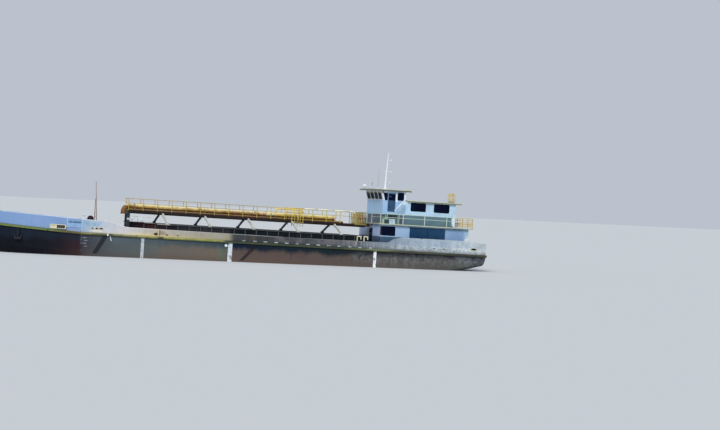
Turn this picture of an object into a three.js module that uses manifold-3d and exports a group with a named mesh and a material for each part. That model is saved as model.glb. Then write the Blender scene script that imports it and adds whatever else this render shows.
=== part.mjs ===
// Self-propelled river sand barge, a scale model at 1:2.
// Lengths below are metres on the full-size vessel; piece() turns them into millimetres at 1:2.
// Origin on the waterline amidships, on the centreline. +X aft, +Y starboard, +Z up.

import * as THREE from 'three';
import { mergeVertices } from 'three/addons/utils/BufferGeometryUtils.js';
import Module from 'manifold-3d';

const wasm = await Module();
wasm.setup();

// Driving dimensions, in metres at full size.
const MODEL_SCALE = 500;      // millimetres of model for one metre of vessel, 1:2
const GAP = 0.0006;           // between pieces that rest on each other
const DOOR_GAP = 0.014;       // round the edge of a door leaf
const DECK = 1.95;            // main deck over the waterline
const SHOULDER = -17;         // where the bow starts to narrow
const BOW_RISE = 0.056;       // rise of the foredeck for each metre forward of the shoulder
const STERN = 22.45;          // foot of the transom
const WALL = 0.08;            // house walls and door leaves
const RAIL_BAR = 0.026;       // radius of rail pipes
const POST = 0.056;           // width of rail posts
const SIDES = [[-1, 'port'], [1, 'starboard']];

const HOLD = { bow: -11.4, aft: 10.65, half: 3.65, floor: -0.35 };
const COAMING = {
  bow: -11.6, aft: 10.85, half: 3.85, thick: 0.14, top: 3.12, flange: 0.1, flangeThick: 0.08,
  pitch: 1.08, firstPost: 0.65, postWide: 0.06, postOut: 0.08,
};
const WELL = { bow: 13.1, aft: 17.1, half: 2.8, floor: 0.15 };

const LOWER = { bow: 12.1, aft: 21.04, half: 3.9, top: 4.35 };
const BRIDGE_DECK = { bow: 11.9, aft: 21.46, half: 4.2, bottom: 4.35, top: 4.45 };
const UPPER = { bow: 14.75, aft: 19.9, half: 2.95, top: 6.7 };
const WHEELHOUSE = { bow: 12.5, aft: 14.75, half: 2.95, sill: 6.72, top: 7.62, lean: 0.25, floor: 5.5 };
const UPPER_ROOF = { bow: 14.9, aft: 20.45, half: 3.2, thick: 0.13 };
const WHEELHOUSE_ROOF = { bow: 11.7, aft: 15.2, half: 3.25, thick: 0.12, crown: 0.08 };

const GANTRY = {
  bow: -12.05, aft: 11.8, half: 0.85, beamWide: 0.1, bottom: 4.02, top: 4.22,
  step: { long: 0.44, rise: 0.12 },
};
const GANTRY_RAIL = { bow: -12.0, aft: 10.2, top: 5.35, middle: 4.92, posts: 17 };
const RAFTERS = { places: [-8.7, -4.6, -0.35, 4.0, 8.25], wide: 0.16, deep: 0.14, foot: 0.15 };
const PIPE = {
  bow: -11.3, aft: 8.3, side: -0.42, height: 4.6, radius: 0.24, wall: 0.05,
  flange: 0.33, flangeThick: 0.07, joints: [-5.15, 1.5, 2.3],
};
const BRIDGE_RAIL = {
  top: 5.4, middle: 5.05, half: 4.1, bow: 12.0, aft: 21.36, posts: [14.28, 16.45, 18.7, 20.05],
  closeFrom: 20.05, closeBars: [4.85, 4.65], gapHalf: 0.9, crossPost: 2.5,
};

const SHAFT = { side: 2.6, height: -0.42, radius: 0.045, tube: 0.09, bow: 16.6, aft: 19.25 };
const PROPELLER = { place: 19.6, radius: 0.45, hub: 0.1, hubLong: 0.3, blades: 4 };
const RUDDER = { stock: 20.6, stockRadius: 0.06, lead: 0.28, trail: 0.85, bottom: -0.85, top: 0.16 };

const X = new THREE.Vector3(1, 0, 0);
const Y = new THREE.Vector3(0, 1, 0);
const Z = new THREE.Vector3(0, 0, 1);

// Basic shapes.

function box(x0, x1, y0, y1, z0, z1) {
  const shape = new THREE.BoxGeometry(x1 - x0, y1 - y0, z1 - z0);
  return shape.translate((x0 + x1) / 2, (y0 + y1) / 2, (z0 + z1) / 2);
}

// A box whose side limits are mirrored to the chosen side of the vessel.
function sideBox(side, x0, x1, inner, outer, z0, z1) {
  const [y0, y1] = side < 0 ? [-outer, -inner] : [inner, outer];
  return box(x0, x1, y0, y1, z0, z1);
}

// A round bar between two points; it may taper.
function rod(from, to, radius, sides = 8, endRadius = radius) {
  const a = new THREE.Vector3(...from);
  const b = new THREE.Vector3(...to);
  const along = b.clone().sub(a);
  const shape = new THREE.CylinderGeometry(endRadius, radius, along.length(), sides);
  const turn = new THREE.Quaternion().setFromUnitVectors(Y, along.clone().normalize());
  return shape.applyQuaternion(turn).translate(...a.add(b).multiplyScalar(0.5).toArray());
}

// A flat bar between two points in a plane of constant x.
function crossBar(x, wide, from, to, deep) {
  const [y0, z0] = from;
  const [y1, z1] = to;
  const length = Math.hypot(y1 - y0, z1 - z0);
  const shape = new THREE.BoxGeometry(wide, length, deep);
  shape.rotateX(Math.atan2(z1 - z0, y1 - y0));
  return shape.translate(x, (y0 + y1) / 2, (z0 + z1) / 2);
}

function shapeOf(points) {
  return new THREE.Shape(points.map(([a, b]) => new THREE.Vector2(a, b)));
}

// A side view, given as x and z, made solid from y0 to y1.
function sideProfile(outline, y0, y1, curveSegments = 6) {
  const shape = outline instanceof THREE.Shape ? outline : shapeOf(outline);
  const body = new THREE.ExtrudeGeometry(shape, { depth: y1 - y0, bevelEnabled: false, curveSegments });
  return body.rotateX(Math.PI / 2).translate(0, y1, 0);
}

// A plan, given as x and y, made solid from z0 to z1.
function plan(outline, z0, z1) {
  const body = new THREE.ExtrudeGeometry(shapeOf(outline), { depth: z1 - z0, bevelEnabled: false });
  return body.translate(0, 0, z0);
}

// A cross-section, given as y and z, made solid from x0 to x1.
function crossSection(outline, x0, x1) {
  const body = new THREE.ExtrudeGeometry(shapeOf(outline), { depth: x1 - x0, bevelEnabled: false });
  return body.applyMatrix4(new THREE.Matrix4().makeBasis(Y, Z, X)).translate(x0, 0, 0);
}

// A solid through sections that all have the same number of points.
function loft(sections) {
  const count = sections[0].length;
  const positions = sections.flat(2);
  const index = [];
  for (let s = 0; s + 1 < sections.length; s += 1) {
    for (let i = 0; i < count; i += 1) {
      const j = (i + 1) % count;
      const [a, b, c, d] = [s * count + i, s * count + j, (s + 1) * count + j, (s + 1) * count + i];
      index.push(a, b, c, a, c, d);
    }
  }
  const last = (sections.length - 1) * count;
  for (let i = 1; i + 1 < count; i += 1) {
    index.push(0, i + 1, i, last, last + i, last + i + 1);
  }
  const body = new THREE.BufferGeometry();
  body.setAttribute('position', new THREE.Float32BufferAttribute(positions, 3));
  body.setIndex(index);
  return signedVolume(body) < 0 ? turnedInsideOut(body) : body;
}

function signedVolume(body) {
  const points = body.attributes.position;
  const [a, b, c] = [new THREE.Vector3(), new THREE.Vector3(), new THREE.Vector3()];
  let total = 0;
  for (let i = 0; i < body.index.count; i += 3) {
    a.fromBufferAttribute(points, body.index.getX(i));
    b.fromBufferAttribute(points, body.index.getX(i + 1));
    c.fromBufferAttribute(points, body.index.getX(i + 2));
    total += a.dot(b.cross(c)) / 6;
  }
  return total;
}

function turnedInsideOut(body) {
  const index = Array.from(body.index.array);
  for (let i = 0; i < index.length; i += 3) {
    [index[i + 1], index[i + 2]] = [index[i + 2], index[i + 1]];
  }
  return body.setIndex(index);
}

// Joining and cutting.

function solid(geometry) {
  const plain = geometry.clone();
  plain.deleteAttribute('normal');
  plain.deleteAttribute('uv');
  const merged = mergeVertices(plain, 1e-6);
  const vertProperties = Float32Array.from(merged.attributes.position.array);
  const triVerts = Uint32Array.from(merged.index.array);
  return new wasm.Manifold(new wasm.Mesh({ numProp: 3, vertProperties, triVerts }));
}

function asGeometry(body) {
  const mesh = body.getMesh();
  const geometry = new THREE.BufferGeometry();
  geometry.setAttribute('position', new THREE.Float32BufferAttribute(mesh.vertProperties, 3));
  geometry.setIndex(Array.from(mesh.triVerts));
  return geometry;
}

function joined(shapes) {
  return asGeometry(shapes.map(solid).reduce((sum, next) => sum.add(next)));
}

function cut(shape, tools) {
  return asGeometry(tools.map(solid).reduce((rest, tool) => rest.subtract(tool), solid(shape)));
}

// Radius of a bore with flat facets that clears a round pin all the way round.
function boreRadius(pinRadius, sides) {
  return (pinRadius + GAP) / Math.cos(Math.PI / sides);
}

// The hull.

// Columns: x, bottom half-breadth, keel height, chine half-breadth, chine height,
// side half-breadth, side height, deck half-breadth.
const HULL_STATIONS = [
  [-25.95, 0.15, 0.60, 0.30, 0.75, 0.40, 1.20, 0.55],
  [-25.60, 0.45, 0.10, 0.80, 0.30, 1.05, 0.90, 1.40],
  [-24.80, 1.20, -0.35, 1.75, -0.05, 2.10, 0.60, 2.60],
  [-23.50, 2.40, -0.64, 2.95, -0.30, 3.25, 0.35, 3.65],
  [-21.60, 3.60, -0.80, 4.05, -0.42, 4.30, 0.25, 4.48],
  [-19.30, 4.30, -0.85, 4.65, -0.45, 4.83, 0.20, 4.90],
  [SHOULDER, 4.55, -0.85, 4.95, -0.45, 5.00, 0.20, 5.00],
  [14.00, 4.55, -0.85, 4.95, -0.45, 5.00, 0.20, 5.00],
  [17.00, 4.55, -0.48, 4.95, -0.12, 5.00, 0.40, 5.00],
  [19.80, 4.55, 0.22, 4.92, 0.50, 4.98, 0.90, 5.00],
  [STERN, 4.50, 0.88, 4.85, 1.08, 4.93, 1.30, 4.95],
];
const TRANSOM_LEAN = 0.23;    // metres aft for each metre up, on the last station
const TRANSOM_KEEL = HULL_STATIONS[HULL_STATIONS.length - 1][2];
const TRANSOM_TOP = STERN + TRANSOM_LEAN * (DECK - TRANSOM_KEEL);
const SHAFT_STRUT = { bow: 18.85, aft: 19.1, half: 0.03, top: 0.4 };
const BOLLARD = {
  places: [-18.6, -13.2, 21.75], side: 4.35, apart: 0.6, radius: 0.11, head: 0.15,
  neck: 0.5, top: 0.56, plateLong: 1.1, plateWide: 0.4, plate: 0.04, sunk: 0.05,
};

function deckAt(x) {
  return DECK + Math.max(0, SHOULDER - x) * BOW_RISE;
}

function hullSection([x, bottom, keel, chine, chineZ, flank, flankZ, deck], lean) {
  const half = [[deck, deckAt(x)], [flank, flankZ], [chine, chineZ], [bottom, keel]];
  const at = (side) => ([y, z]) => [x + lean * (z - keel), side * y, z];
  return [...half.map(at(-1)), ...half.reverse().map(at(1))];
}

function sternGear(side) {
  const y = side * SHAFT.side;
  const { bow, aft, half, top } = SHAFT_STRUT;
  const tube = rod([SHAFT.bow, y, SHAFT.height], [SHAFT.aft, y, SHAFT.height], SHAFT.tube, 16);
  return [tube, box(bow, aft, y - half, y + half, SHAFT.height, top)];
}

function bollardPair(x, side) {
  const { apart, radius, head, neck, top, plateLong, plateWide, plate, sunk } = BOLLARD;
  const y = side * BOLLARD.side;
  const z = deckAt(x);
  const posts = [-apart / 2, apart / 2].flatMap((along) => [
    rod([x + along, y, z - sunk], [x + along, y, z + neck], radius, 8),
    rod([x + along, y, z + neck], [x + along, y, z + top], head, 8),
  ]);
  const [long, wide] = [plateLong / 2, plateWide / 2];
  return [...posts, box(x - long, x + long, y - wide, y + wide, z - sunk, z + plate)];
}

function mirrored(geometry) {
  return turnedInsideOut(geometry.clone().scale(1, -1, 1));
}

// The hawse pipes end in a boss that the housed anchors bear on.
const ANCHOR = { after: 4, share: 0.5, height: 1.15, standOff: 0.06, boss: 0.16 };

function anchorPlace() {
  const panel = HULL_STATIONS.slice(ANCHOR.after - 1, ANCHOR.after + 1);
  const [[x0, y0], [x1, y1]] = panel.map((row) => [row[0], row[7]]);
  const at = (from, to) => from + (to - from) * ANCHOR.share;
  return { x: at(x0, x1), y: at(y0, y1), heading: Math.atan2(y1 - y0, x1 - x0) };
}

function hawseBoss(side) {
  const { x, y, heading } = anchorPlace();
  const boss = rod([0, -0.6, 0], [0, ANCHOR.standOff - GAP, 0], ANCHOR.boss, 12).rotateZ(heading);
  boss.translate(x, y, ANCHOR.height + 0.4);
  return side < 0 ? mirrored(boss) : boss;
}

function hullShape() {
  const shell = loft(HULL_STATIONS.map((row) => hullSection(row, row[0] === STERN ? TRANSOM_LEAN : 0)));
  const bosses = SIDES.map(([side]) => hawseBoss(side));
  const gear = SIDES.flatMap(([side]) => sternGear(side));
  const bollards = SIDES.flatMap(([side]) => BOLLARD.places.flatMap((x) => bollardPair(x, side)));
  const whole = joined([shell, ...bosses, ...gear, ...bollards]);
  const hold = box(HOLD.bow, HOLD.aft, -HOLD.half, HOLD.half, HOLD.floor, DECK + 0.1);
  const well = box(WELL.bow, WELL.aft, -WELL.half, WELL.half, WELL.floor, DECK + 0.1);
  const bores = SIDES.flatMap(([side]) => {
    const y = side * SHAFT.side;
    const shaftBore = boreRadius(SHAFT.radius, 16);
    const stockBore = boreRadius(RUDDER.stockRadius, 24);
    return [
      rod([SHAFT.aft - 0.5, y, SHAFT.height], [SHAFT.aft + 0.1, y, SHAFT.height], shaftBore, 16),
      rod([RUDDER.stock, y, 0], [RUDDER.stock, y, 1.2], stockBore, 24),
    ];
  });
  return cut(whole, [hold, well, ...bores]);
}

// Plates and rails that follow the deck edge.

const BOW_EDGE = HULL_STATIONS.filter((row) => row[0] <= SHOULDER).map((row) => [row[0], row[7]]);

// A plate along a line on the deck plan, between two offsets outward of it.
function plateAlong(line, inner, outer, bottomAt, topAt) {
  const normals = line.slice(1).map(([x, y], i) => {
    const along = new THREE.Vector2(x - line[i][0], y - line[i][1]).normalize();
    return new THREE.Vector2(-along.y, along.x);
  });
  const sections = line.map(([x, y], i) => {
    const before = normals[Math.max(i - 1, 0)];
    const after = normals[Math.min(i, normals.length - 1)];
    const mitre = before.clone().add(after).divideScalar(1 + before.dot(after));
    const at = (offset) => [x + mitre.x * offset, y + mitre.y * offset];
    const [ix, iy] = at(inner);
    const [ox, oy] = at(outer);
    return [[ix, iy, bottomAt(ix)], [ox, oy, bottomAt(ox)], [ox, oy, topAt(ox)], [ix, iy, topAt(ix)]];
  });
  return loft(sections);
}

const RUB_RAIL = { out: 0.13, deep: 0.2, drop: 0.02 };
// Rows of chocks: x, z, length and height of an oval hole.
const BULWARK = {
  thick: 0.08, inset: 0.1, bowTop: 3.12, bowRise: 0.045, low: 2.6, aftTop: 3.15, sternTop: 2.95, aft: 22.6,
  chocks: [
    [-15.87, 2.37, 0.24, 0.17], [-15.47, 2.37, 0.3, 0.19], [-15.06, 2.37, 0.38, 0.2], [21.35, 2.45, 0.62, 0.24],
  ],
};

function rubRail(side) {
  const edge = [...HULL_STATIONS.filter((row) => row[0] >= -25.6).map((row) => [row[0], side * row[7]])];
  edge[edge.length - 1][0] = TRANSOM_TOP;
  const line = side < 0 ? edge.reverse() : edge;
  const top = (x) => deckAt(x) - RUB_RAIL.drop;
  return plateAlong(line, 2 * GAP, RUB_RAIL.out, (x) => top(x) - RUB_RAIL.deep, top);
}

function bowBulwark() {
  const line = [...BOW_EDGE.map(([x, y]) => [x, -y]).reverse(), ...BOW_EDGE];
  const top = (x) => BULWARK.bowTop + (SHOULDER - x) * BULWARK.bowRise;
  const inner = -BULWARK.inset;
  return plateAlong(line, inner, inner + BULWARK.thick, (x) => deckAt(x) + 2 * GAP, top);
}

function oval(x, z, long, high) {
  const hole = new THREE.Path();
  hole.absellipse(x, z, long / 2, high / 2, 0, Math.PI * 2);
  return hole;
}

// Side plates: high at the bow, low along the hold, high again round the house.
function sideBulwark(side) {
  const { bowTop, low, aftTop, aft, sternTop, chocks } = BULWARK;
  const bow = SHOULDER + 0.03;
  const outline = new THREE.Shape();
  outline.moveTo(bow, DECK + GAP);
  outline.lineTo(aft, DECK + GAP);
  outline.lineTo(aft, sternTop);
  outline.lineTo(20.5, aftTop + 0.03);
  outline.lineTo(14.2, aftTop);
  outline.bezierCurveTo(13.5, aftTop, 13.7, low, 12.9, low);
  outline.lineTo(3.7, low - 0.06);
  outline.lineTo(-12.3, low);
  outline.bezierCurveTo(-13.4, low, -13.6, 3.05, -14.8, 3.07);
  outline.lineTo(bow, bowTop);
  outline.closePath();
  outline.holes.push(...chocks.map((row) => oval(...row)));
  const outer = 5 - BULWARK.inset + BULWARK.thick;
  const [y0, y1] = side < 0 ? [-outer, -outer + BULWARK.thick] : [outer - BULWARK.thick, outer];
  return sideProfile(outline, y0, y1, 8);
}

function sternBulwark() {
  const { aft, thick, inset, sternTop } = BULWARK;
  const half = 5 - inset - 2 * GAP;
  const plate = box(aft - thick, aft, -half, half, DECK + GAP, sternTop);
  const slots = SIDES.map(([side]) => sideBox(side, aft - 0.2, aft + 0.1, 2.9, 3.5, 2.3, 2.55));
  return cut(plate, slots);
}

// The hold's coaming, with its stiffening posts.
function coamingShape() {
  const { bow, aft, half, thick, top, flange, flangeThick, pitch, firstPost, postWide, postOut } = COAMING;
  const walls = box(bow, aft, -half, half, DECK + GAP, top);
  const rim = box(bow - flange, aft + flange, -half - flange, half + flange, top - flangeThick, top);
  const inside = box(bow + thick, aft - thick, -half + thick, half - thick, DECK - 0.1, top + 0.1);
  const count = Math.floor((aft - bow) / pitch);
  const places = Array.from({ length: count }, (_, i) => bow + firstPost + i * pitch);
  const posts = places.flatMap((x) => SIDES.map(([side]) =>
    sideBox(side, x, x + postWide, half - 0.02, half + postOut, DECK + GAP, top - 0.02)));
  return cut(joined([walls, rim, ...posts]), [inside]);
}

// The gantry over the hold.

function pipeSaddle(x) {
  const half = PIPE.radius + 0.04;
  return box(x - 0.06, x + 0.06, PIPE.side - half, PIPE.side + half, GANTRY.top - 0.02, PIPE.height - 0.1);
}

function gantryFrame() {
  const { bow, aft, half, beamWide, bottom, top, step } = GANTRY;
  const [inner, outer] = [half - beamWide / 2, half + beamWide / 2];
  const beams = SIDES.map(([side]) => sideBox(side, bow, aft, inner, outer, bottom, top));
  const floor = box(bow, aft, -half, half, top - 0.06, top - 0.02);
  const tread = box(aft - step.long, aft, -inner, inner, top - 0.04, top + step.rise);
  const crossBeams = [bow + 0.05, ...RAFTERS.places, aft - 0.05].map((x) =>
    box(x - 0.05, x + 0.05, -half, half, bottom, top - 0.03));
  const legs = RAFTERS.places.flatMap((x) => SIDES.flatMap(([side]) => {
    const foot = side * (COAMING.half - 0.02);
    const footTop = COAMING.top + 0.07;
    const plate = [COAMING.half - 0.16, COAMING.half + 0.08, COAMING.top + GAP, footTop + 0.03];
    return [
      crossBar(x, RAFTERS.wide, [foot, footTop], [side * (half - 0.05), bottom + 0.06], RAFTERS.deep),
      sideBox(side, x - RAFTERS.foot, x + RAFTERS.foot, ...plate),
    ];
  }));
  const saddles = [PIPE.bow + 0.5, ...RAFTERS.places.slice(0, -1), PIPE.aft - 0.35].map(pipeSaddle);
  const bed = rod([-13, PIPE.side, PIPE.height], [12, PIPE.side, PIPE.height], PIPE.radius + 1.2 * GAP, 16);
  const underFeet = box(bow - 1, aft + 1, -5, 5, DECK, COAMING.top + GAP);
  return cut(joined([...beams, floor, tread, ...crossBeams, ...legs, ...saddles]), [bed, underFeet]);
}

function gantryColumn() {
  const [x0, x1] = [-12.08, -11.82];
  const legs = SIDES.map(([side]) => sideBox(side, x0, x1, 0.6, 0.82, DECK + GAP, GANTRY.bottom - GAP));
  const head = box(x0, x1, -0.9, 0.9, GANTRY.bottom - 0.16, GANTRY.bottom - GAP);
  const tie = box(x0 + 0.08, x1 - 0.08, -0.7, 0.7, 2.9, 3.02);
  return joined([...legs, head, tie]);
}

function spread(from, to, count) {
  return Array.from({ length: count }, (_, i) => from + (to - from) * i / (count - 1));
}

function railPost(x, y, foot, head) {
  return box(x - POST / 2, x + POST / 2, y - POST / 2, y + POST / 2, foot, head);
}

// The close-barred end of a walkway rail, beside the step to the bridge deck.
const GATE = { bow: 10.35, aft: 11.42, top: 5.38, middle: 4.75, bar: 0.06, rail: 0.07, bars: 7 };

function gatePanel(side) {
  const { bow, aft, top, middle, bar, rail, bars } = GATE;
  const base = GANTRY.top + GAP;
  const [inner, outer] = [GANTRY.half - bar / 2, GANTRY.half + bar / 2];
  const places = spread(bow, aft - bar, bars);
  const uprights = places.map((x) => sideBox(side, x, x + bar, inner, outer, base, top));
  const rails = [base, middle, top - rail].map((z) => sideBox(side, bow, aft, inner, outer, z, z + rail));
  return [...uprights, ...rails];
}

function gantryRail(side) {
  const { bow, aft, top, middle, posts } = GANTRY_RAIL;
  const y = side * GANTRY.half;
  const end = GATE.bow + GATE.bar / 2;
  return joined([
    ...spread(bow, aft, posts).map((x) => railPost(x, y, GANTRY.top + GAP, top)),
    rod([bow, y, top], [end, y, top], RAIL_BAR, 6),
    rod([bow, y, middle], [end, y, middle], RAIL_BAR * 0.8, 6),
    ...gatePanel(side),
  ]);
}

// The rail across the walkway's forward end stands between the side rails' first posts.
function gantryEndRail() {
  const { bow, top, middle } = GANTRY_RAIL;
  const inner = GANTRY.half - POST / 2 - GAP;
  const posts = [-1, 1].map((side) => railPost(bow, side * (inner - POST / 2), GANTRY.top + GAP, top));
  const bars = [top - RAIL_BAR, middle].map((z) =>
    rod([bow, -inner + 0.01, z], [bow, inner - 0.01, z], RAIL_BAR * 0.9, 6));
  return joined([...posts, ...bars]);
}

// A thinner pipe over the main one, with short risers between them.
const BYPASS = {
  bow: 2.45, aft: 5.1, height: 5.26, corner: 0.14, radius: 0.09, sunk: 0.05,
  riser: { radius: 0.045, count: 6, first: 3.55, last: 4.85 },
};

function bypassPipe() {
  const { bow, aft, height, corner, radius, sunk, riser } = BYPASS;
  const foot = PIPE.height + PIPE.radius - sunk;
  const point = (x, z) => [x, PIPE.side, z];
  const route = [
    point(bow, foot), point(bow, height - corner), point(bow + corner, height),
    point(aft - corner, height), point(aft, height - corner), point(aft, foot),
  ];
  const bends = route.slice(1, -1).map((place) =>
    new THREE.SphereGeometry(radius, 12, 8).translate(...place));
  const runs = route.slice(1).map((place, i) => rod(route[i], place, radius, 12));
  const risers = spread(riser.first, riser.last, riser.count).map((x) =>
    rod(point(x, foot), point(x, height), riser.radius, 8));
  return [...runs, ...bends, ...risers];
}

function loadingPipe() {
  const at = (x0, x1, radius) => rod([x0, PIPE.side, PIPE.height], [x1, PIPE.side, PIPE.height], radius, 16);
  const flanges = [PIPE.bow, ...PIPE.joints, PIPE.aft - PIPE.flangeThick];
  const rings = flanges.map((x) => at(x, x + PIPE.flangeThick, PIPE.flange));
  return joined([at(PIPE.bow, PIPE.aft, PIPE.radius), ...rings, ...bypassPipe()]);
}

// The pipe's end over the foredeck: a right-angle bend down to an open mouth.
const ELBOW = { turn: -11.92, bend: 0.5, mouth: 3.85, lip: 0.04, lipDeep: 0.05 };

function pipeElbow() {
  const { turn, bend, mouth, lip, lipDeep } = ELBOW;
  const { side, height, radius, wall } = PIPE;
  const down = turn - bend;
  const route = new THREE.CurvePath();
  const point = (x, z) => new THREE.Vector3(x, side, z);
  const onArc = (a) => point(turn - bend * Math.sin(a), height - bend * (1 - Math.cos(a)));
  const stops = [point(PIPE.bow - 0.04, height), ...spread(0, Math.PI / 2, 7).map(onArc), point(down, mouth)];
  stops.slice(1).forEach((stop, i) => route.add(new THREE.LineCurve3(stops[i], stop)));
  const swept = (across) => {
    const circle = new THREE.Shape().absarc(0, 0, across, 0, Math.PI * 2);
    return new THREE.ExtrudeGeometry(circle, { steps: 14, extrudePath: route, curveSegments: 6 });
  };
  const upright = (z0, z1, across) => rod([down, side, z0], [down, side, z1], across, 16);
  const flangeFace = [PIPE.bow - GAP, side, height];
  const flange = rod([PIPE.bow - PIPE.flangeThick, side, height], flangeFace, PIPE.flange, 16);
  const outside = joined([swept(radius), upright(mouth, mouth + lipDeep, radius + lip)]);
  const open = cut(outside, [swept(radius - wall), upright(mouth - 0.1, mouth + 0.2, radius - wall)]);
  return joined([open, flange]);
}

// Deck gear forward.

// A tall pole that leans forward, and a shorter upright brace before it, tied by bands.
const FORE_MAST = {
  x: -14.8, lean: 0.32, top: 6.75, braceX: -15.07, braceTop: 5.1, bands: [3.4, 4.9], band: 0.06,
};

function foreMast() {
  const { x, lean, top, braceX, braceTop, bands, band } = FORE_MAST;
  const foot = DECK + 0.02;
  const at = (z) => x - lean * (z - foot) / (top - foot);
  const base = box(braceX - 0.07, x + 0.12, -0.2, 0.2, DECK + GAP, DECK + 0.08);
  const pole = rod([x, 0, foot], [at(top), 0, top], 0.05, 8, 0.03);
  const brace = rod([braceX, 0, foot], [braceX, 0, braceTop], 0.045, 8, 0.03);
  const ties = bands.map((z) => box(braceX, at(z), -0.025, 0.025, z, z + band));
  return joined([base, pole, brace, ...ties]);
}

const WINDLASS = {
  x: -15.6, height: 2.72, half: 0.75, axle: 0.06, drum: 0.26, flange: 0.42, baseHalf: 0.43,
  cheek: { thick: 0.1, foot: 0.4, head: 0.16, top: 2.92 }, motor: { half: 0.3, long: 0.42, top: 3.07 },
};

function windlassFrame() {
  const { x, height, half, axle, baseHalf, cheek, motor } = WINDLASS;
  const sunk = DECK + 0.05;
  const base = box(x - baseHalf, x + baseHalf, -half - 0.25, half + 0.55, DECK + GAP, DECK + 0.1);
  const { thick, foot, head, top } = cheek;
  const outline = [[x - foot, sunk], [x + foot, sunk], [x + head, top], [x - head, top]];
  const cheeks = [-half - thick, half].map((y) => sideProfile(outline, y, y + thick));
  const [motorInner, motorOuter] = [half + 0.08, half + 0.08 + motor.long];
  const motorCase = box(x - motor.half, x + motor.half, motorInner, motorOuter, sunk, motor.top);
  const bore = rod([x, -half - 0.2, height], [x, half + 0.06, height], boreRadius(axle, 16), 16);
  return cut(joined([base, ...cheeks, motorCase]), [bore]);
}

function windlassDrum() {
  const { x, height, half, axle, drum, flange } = WINDLASS;
  const along = (y0, y1, radius, sides) => rod([x, y0, height], [x, y1, height], radius, sides);
  return joined([
    along(-half - 0.1, half + 0.06 - GAP, axle, 16),
    along(-half + 0.05, half - 0.05, drum, 16),
    along(-half + 0.05, -half + 0.12, flange, 20),
    along(half - 0.12, half - 0.05, flange, 20),
    along(-half - 0.5, -half - 0.14, 0.17, 12),
    along(-half - 0.54, -half - 0.09, axle, 16),
  ]);
}

// A stockless anchor housed against the bow plating, built at the origin and then laid on the hull.
function anchorShape() {
  const shank = box(-0.06, 0.06, 0, 0.12, -0.1, 0.75);
  const crown = box(-0.32, 0.32, 0, 0.16, -0.2, 0);
  const flukes = [-1, 1].map((side) => {
    const outline = [[side * 0.14, -0.1], [side * 0.34, -0.1], [side * 0.36, 0.42]];
    return sideProfile(side < 0 ? outline.reverse() : outline, 0, 0.1);
  });
  return joined([shank, crown, ...flukes]);
}

function housedAnchor(side) {
  const { x, y, heading } = anchorPlace();
  const anchor = anchorShape().translate(0, ANCHOR.standOff, 0).rotateZ(heading);
  anchor.translate(x, y, ANCHOR.height);
  return side < 0 ? mirrored(anchor) : anchor;
}

// Pipes with downturned ends beside the coaming. Rows of pipes: x, reach, top.
const TANK_VENTS = {
  side: 4.4, bow: 9.6, aft: 10.85, radius: 0.055, drop: 0.3, pipes: [[9.72, 0.36, 3.08], [10.4, 0.36, 3.08]],
};

function tankVents(side) {
  const { bow, aft, radius, drop, pipes } = TANK_VENTS;
  const y = side * TANK_VENTS.side;
  const base = box(bow, aft, y - 0.12, y + 0.12, DECK + GAP, DECK + 0.06);
  const vents = pipes.flatMap(([x, span, top]) => [
    rod([x, y, DECK + 0.02], [x, y, top], radius, 8),
    rod([x, y, top - 0.03], [x + span, y, top - 0.03], radius, 8),
    rod([x + span, y, top], [x + span, y, top - drop], radius, 8),
  ]);
  return joined([base, ...vents]);
}

// The lower house.

const SIDE_DOORS = { bow: 15.1, aft: 18.6, bottom: 2.1, top: 4.2 };
const FRONT_DOOR = { y0: -1.1, y1: -0.15, bottom: 2.1, top: 3.95 };
const AFT_DOOR = { y0: -0.45, y1: 0.45, bottom: 2.1, top: 4.05 };
const UPPER_DOOR = { y0: -0.42, y1: 0.42, bottom: 4.55, top: 6.45 };

const HINGE_RADIUS = 0.03;
const HINGE_OUT = 0.045;      // from the wall's outer face to the hinge axis
const DOOR_ARMS = [0.25, 0.8];  // heights of the hinge arms, as shares of the leaf
const ARM_LONG = 0.3;

// Columns: first x or y, last x or y, bottom, top.
const LOWER_WINDOWS = [[12.28, 13.58, 3.32, 4.16]];
const AFT_WINDOWS = [[-2.9, -1.7, 3.2, 3.95], [1.7, 2.9, 3.2, 3.95]];
const UPPER_WINDOWS = [[15.33, 16.81, 5.83, 6.6], [17.7, 19.22, 5.83, 6.6]];

function lowerSideWall(side) {
  const { bow, aft, half, top } = LOWER;
  const [x0, x1] = [bow + WALL + GAP, aft - WALL - GAP];
  const wall = sideBox(side, x0, x1, half - WALL, half, DECK + GAP, top - GAP);
  const opening = (from, to, z0, z1) => sideBox(side, from, to, half - 1, half + 1, z0, z1);
  const windows = LOWER_WINDOWS.map((row) => opening(...row));
  return cut(wall, [...windows, opening(SIDE_DOORS.bow, SIDE_DOORS.aft, SIDE_DOORS.bottom, SIDE_DOORS.top)]);
}

// An end wall with its doorway, its windows given as y and z limits, and the lugs of its door.
function lowerEndWall(x, out, door, windows) {
  const wall = box(x, x + WALL, -LOWER.half, LOWER.half, DECK + GAP, LOWER.top - GAP);
  const doorway = box(x - 1, x + 1, door.y0, door.y1, door.bottom, door.top);
  const holes = windows.map(([y0, y1, z0, z1]) => box(x - 1, x + 1, y0, y1, z0, z1));
  const lugs = endLugs(out < 0 ? x : x + WALL, out, door.y1, door.bottom, door.top);
  return wallWithLugs(cut(wall, [doorway, ...holes]), lugs, [doorway]);
}

// A door leaf with its hinge tube. The tube stands off the wall on the outside, at (tubeX, tubeY).
function hingedLeaf(leaf, [tubeX, tubeY, z0, z1], arms) {
  const tube = rod([tubeX, tubeY, z0], [tubeX, tubeY, z1], HINGE_RADIUS, 12);
  return joined([box(...leaf), tube, ...arms.map((a) => box(...a))]);
}

// Engine-room doors slide along the outside of the wall, standing on a track under a guide.
const SLIDING = { off: 0.011, thick: 0.06, lap: 0.04, track: 0.05, travel: 1.7, half: 0.01 };

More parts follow.
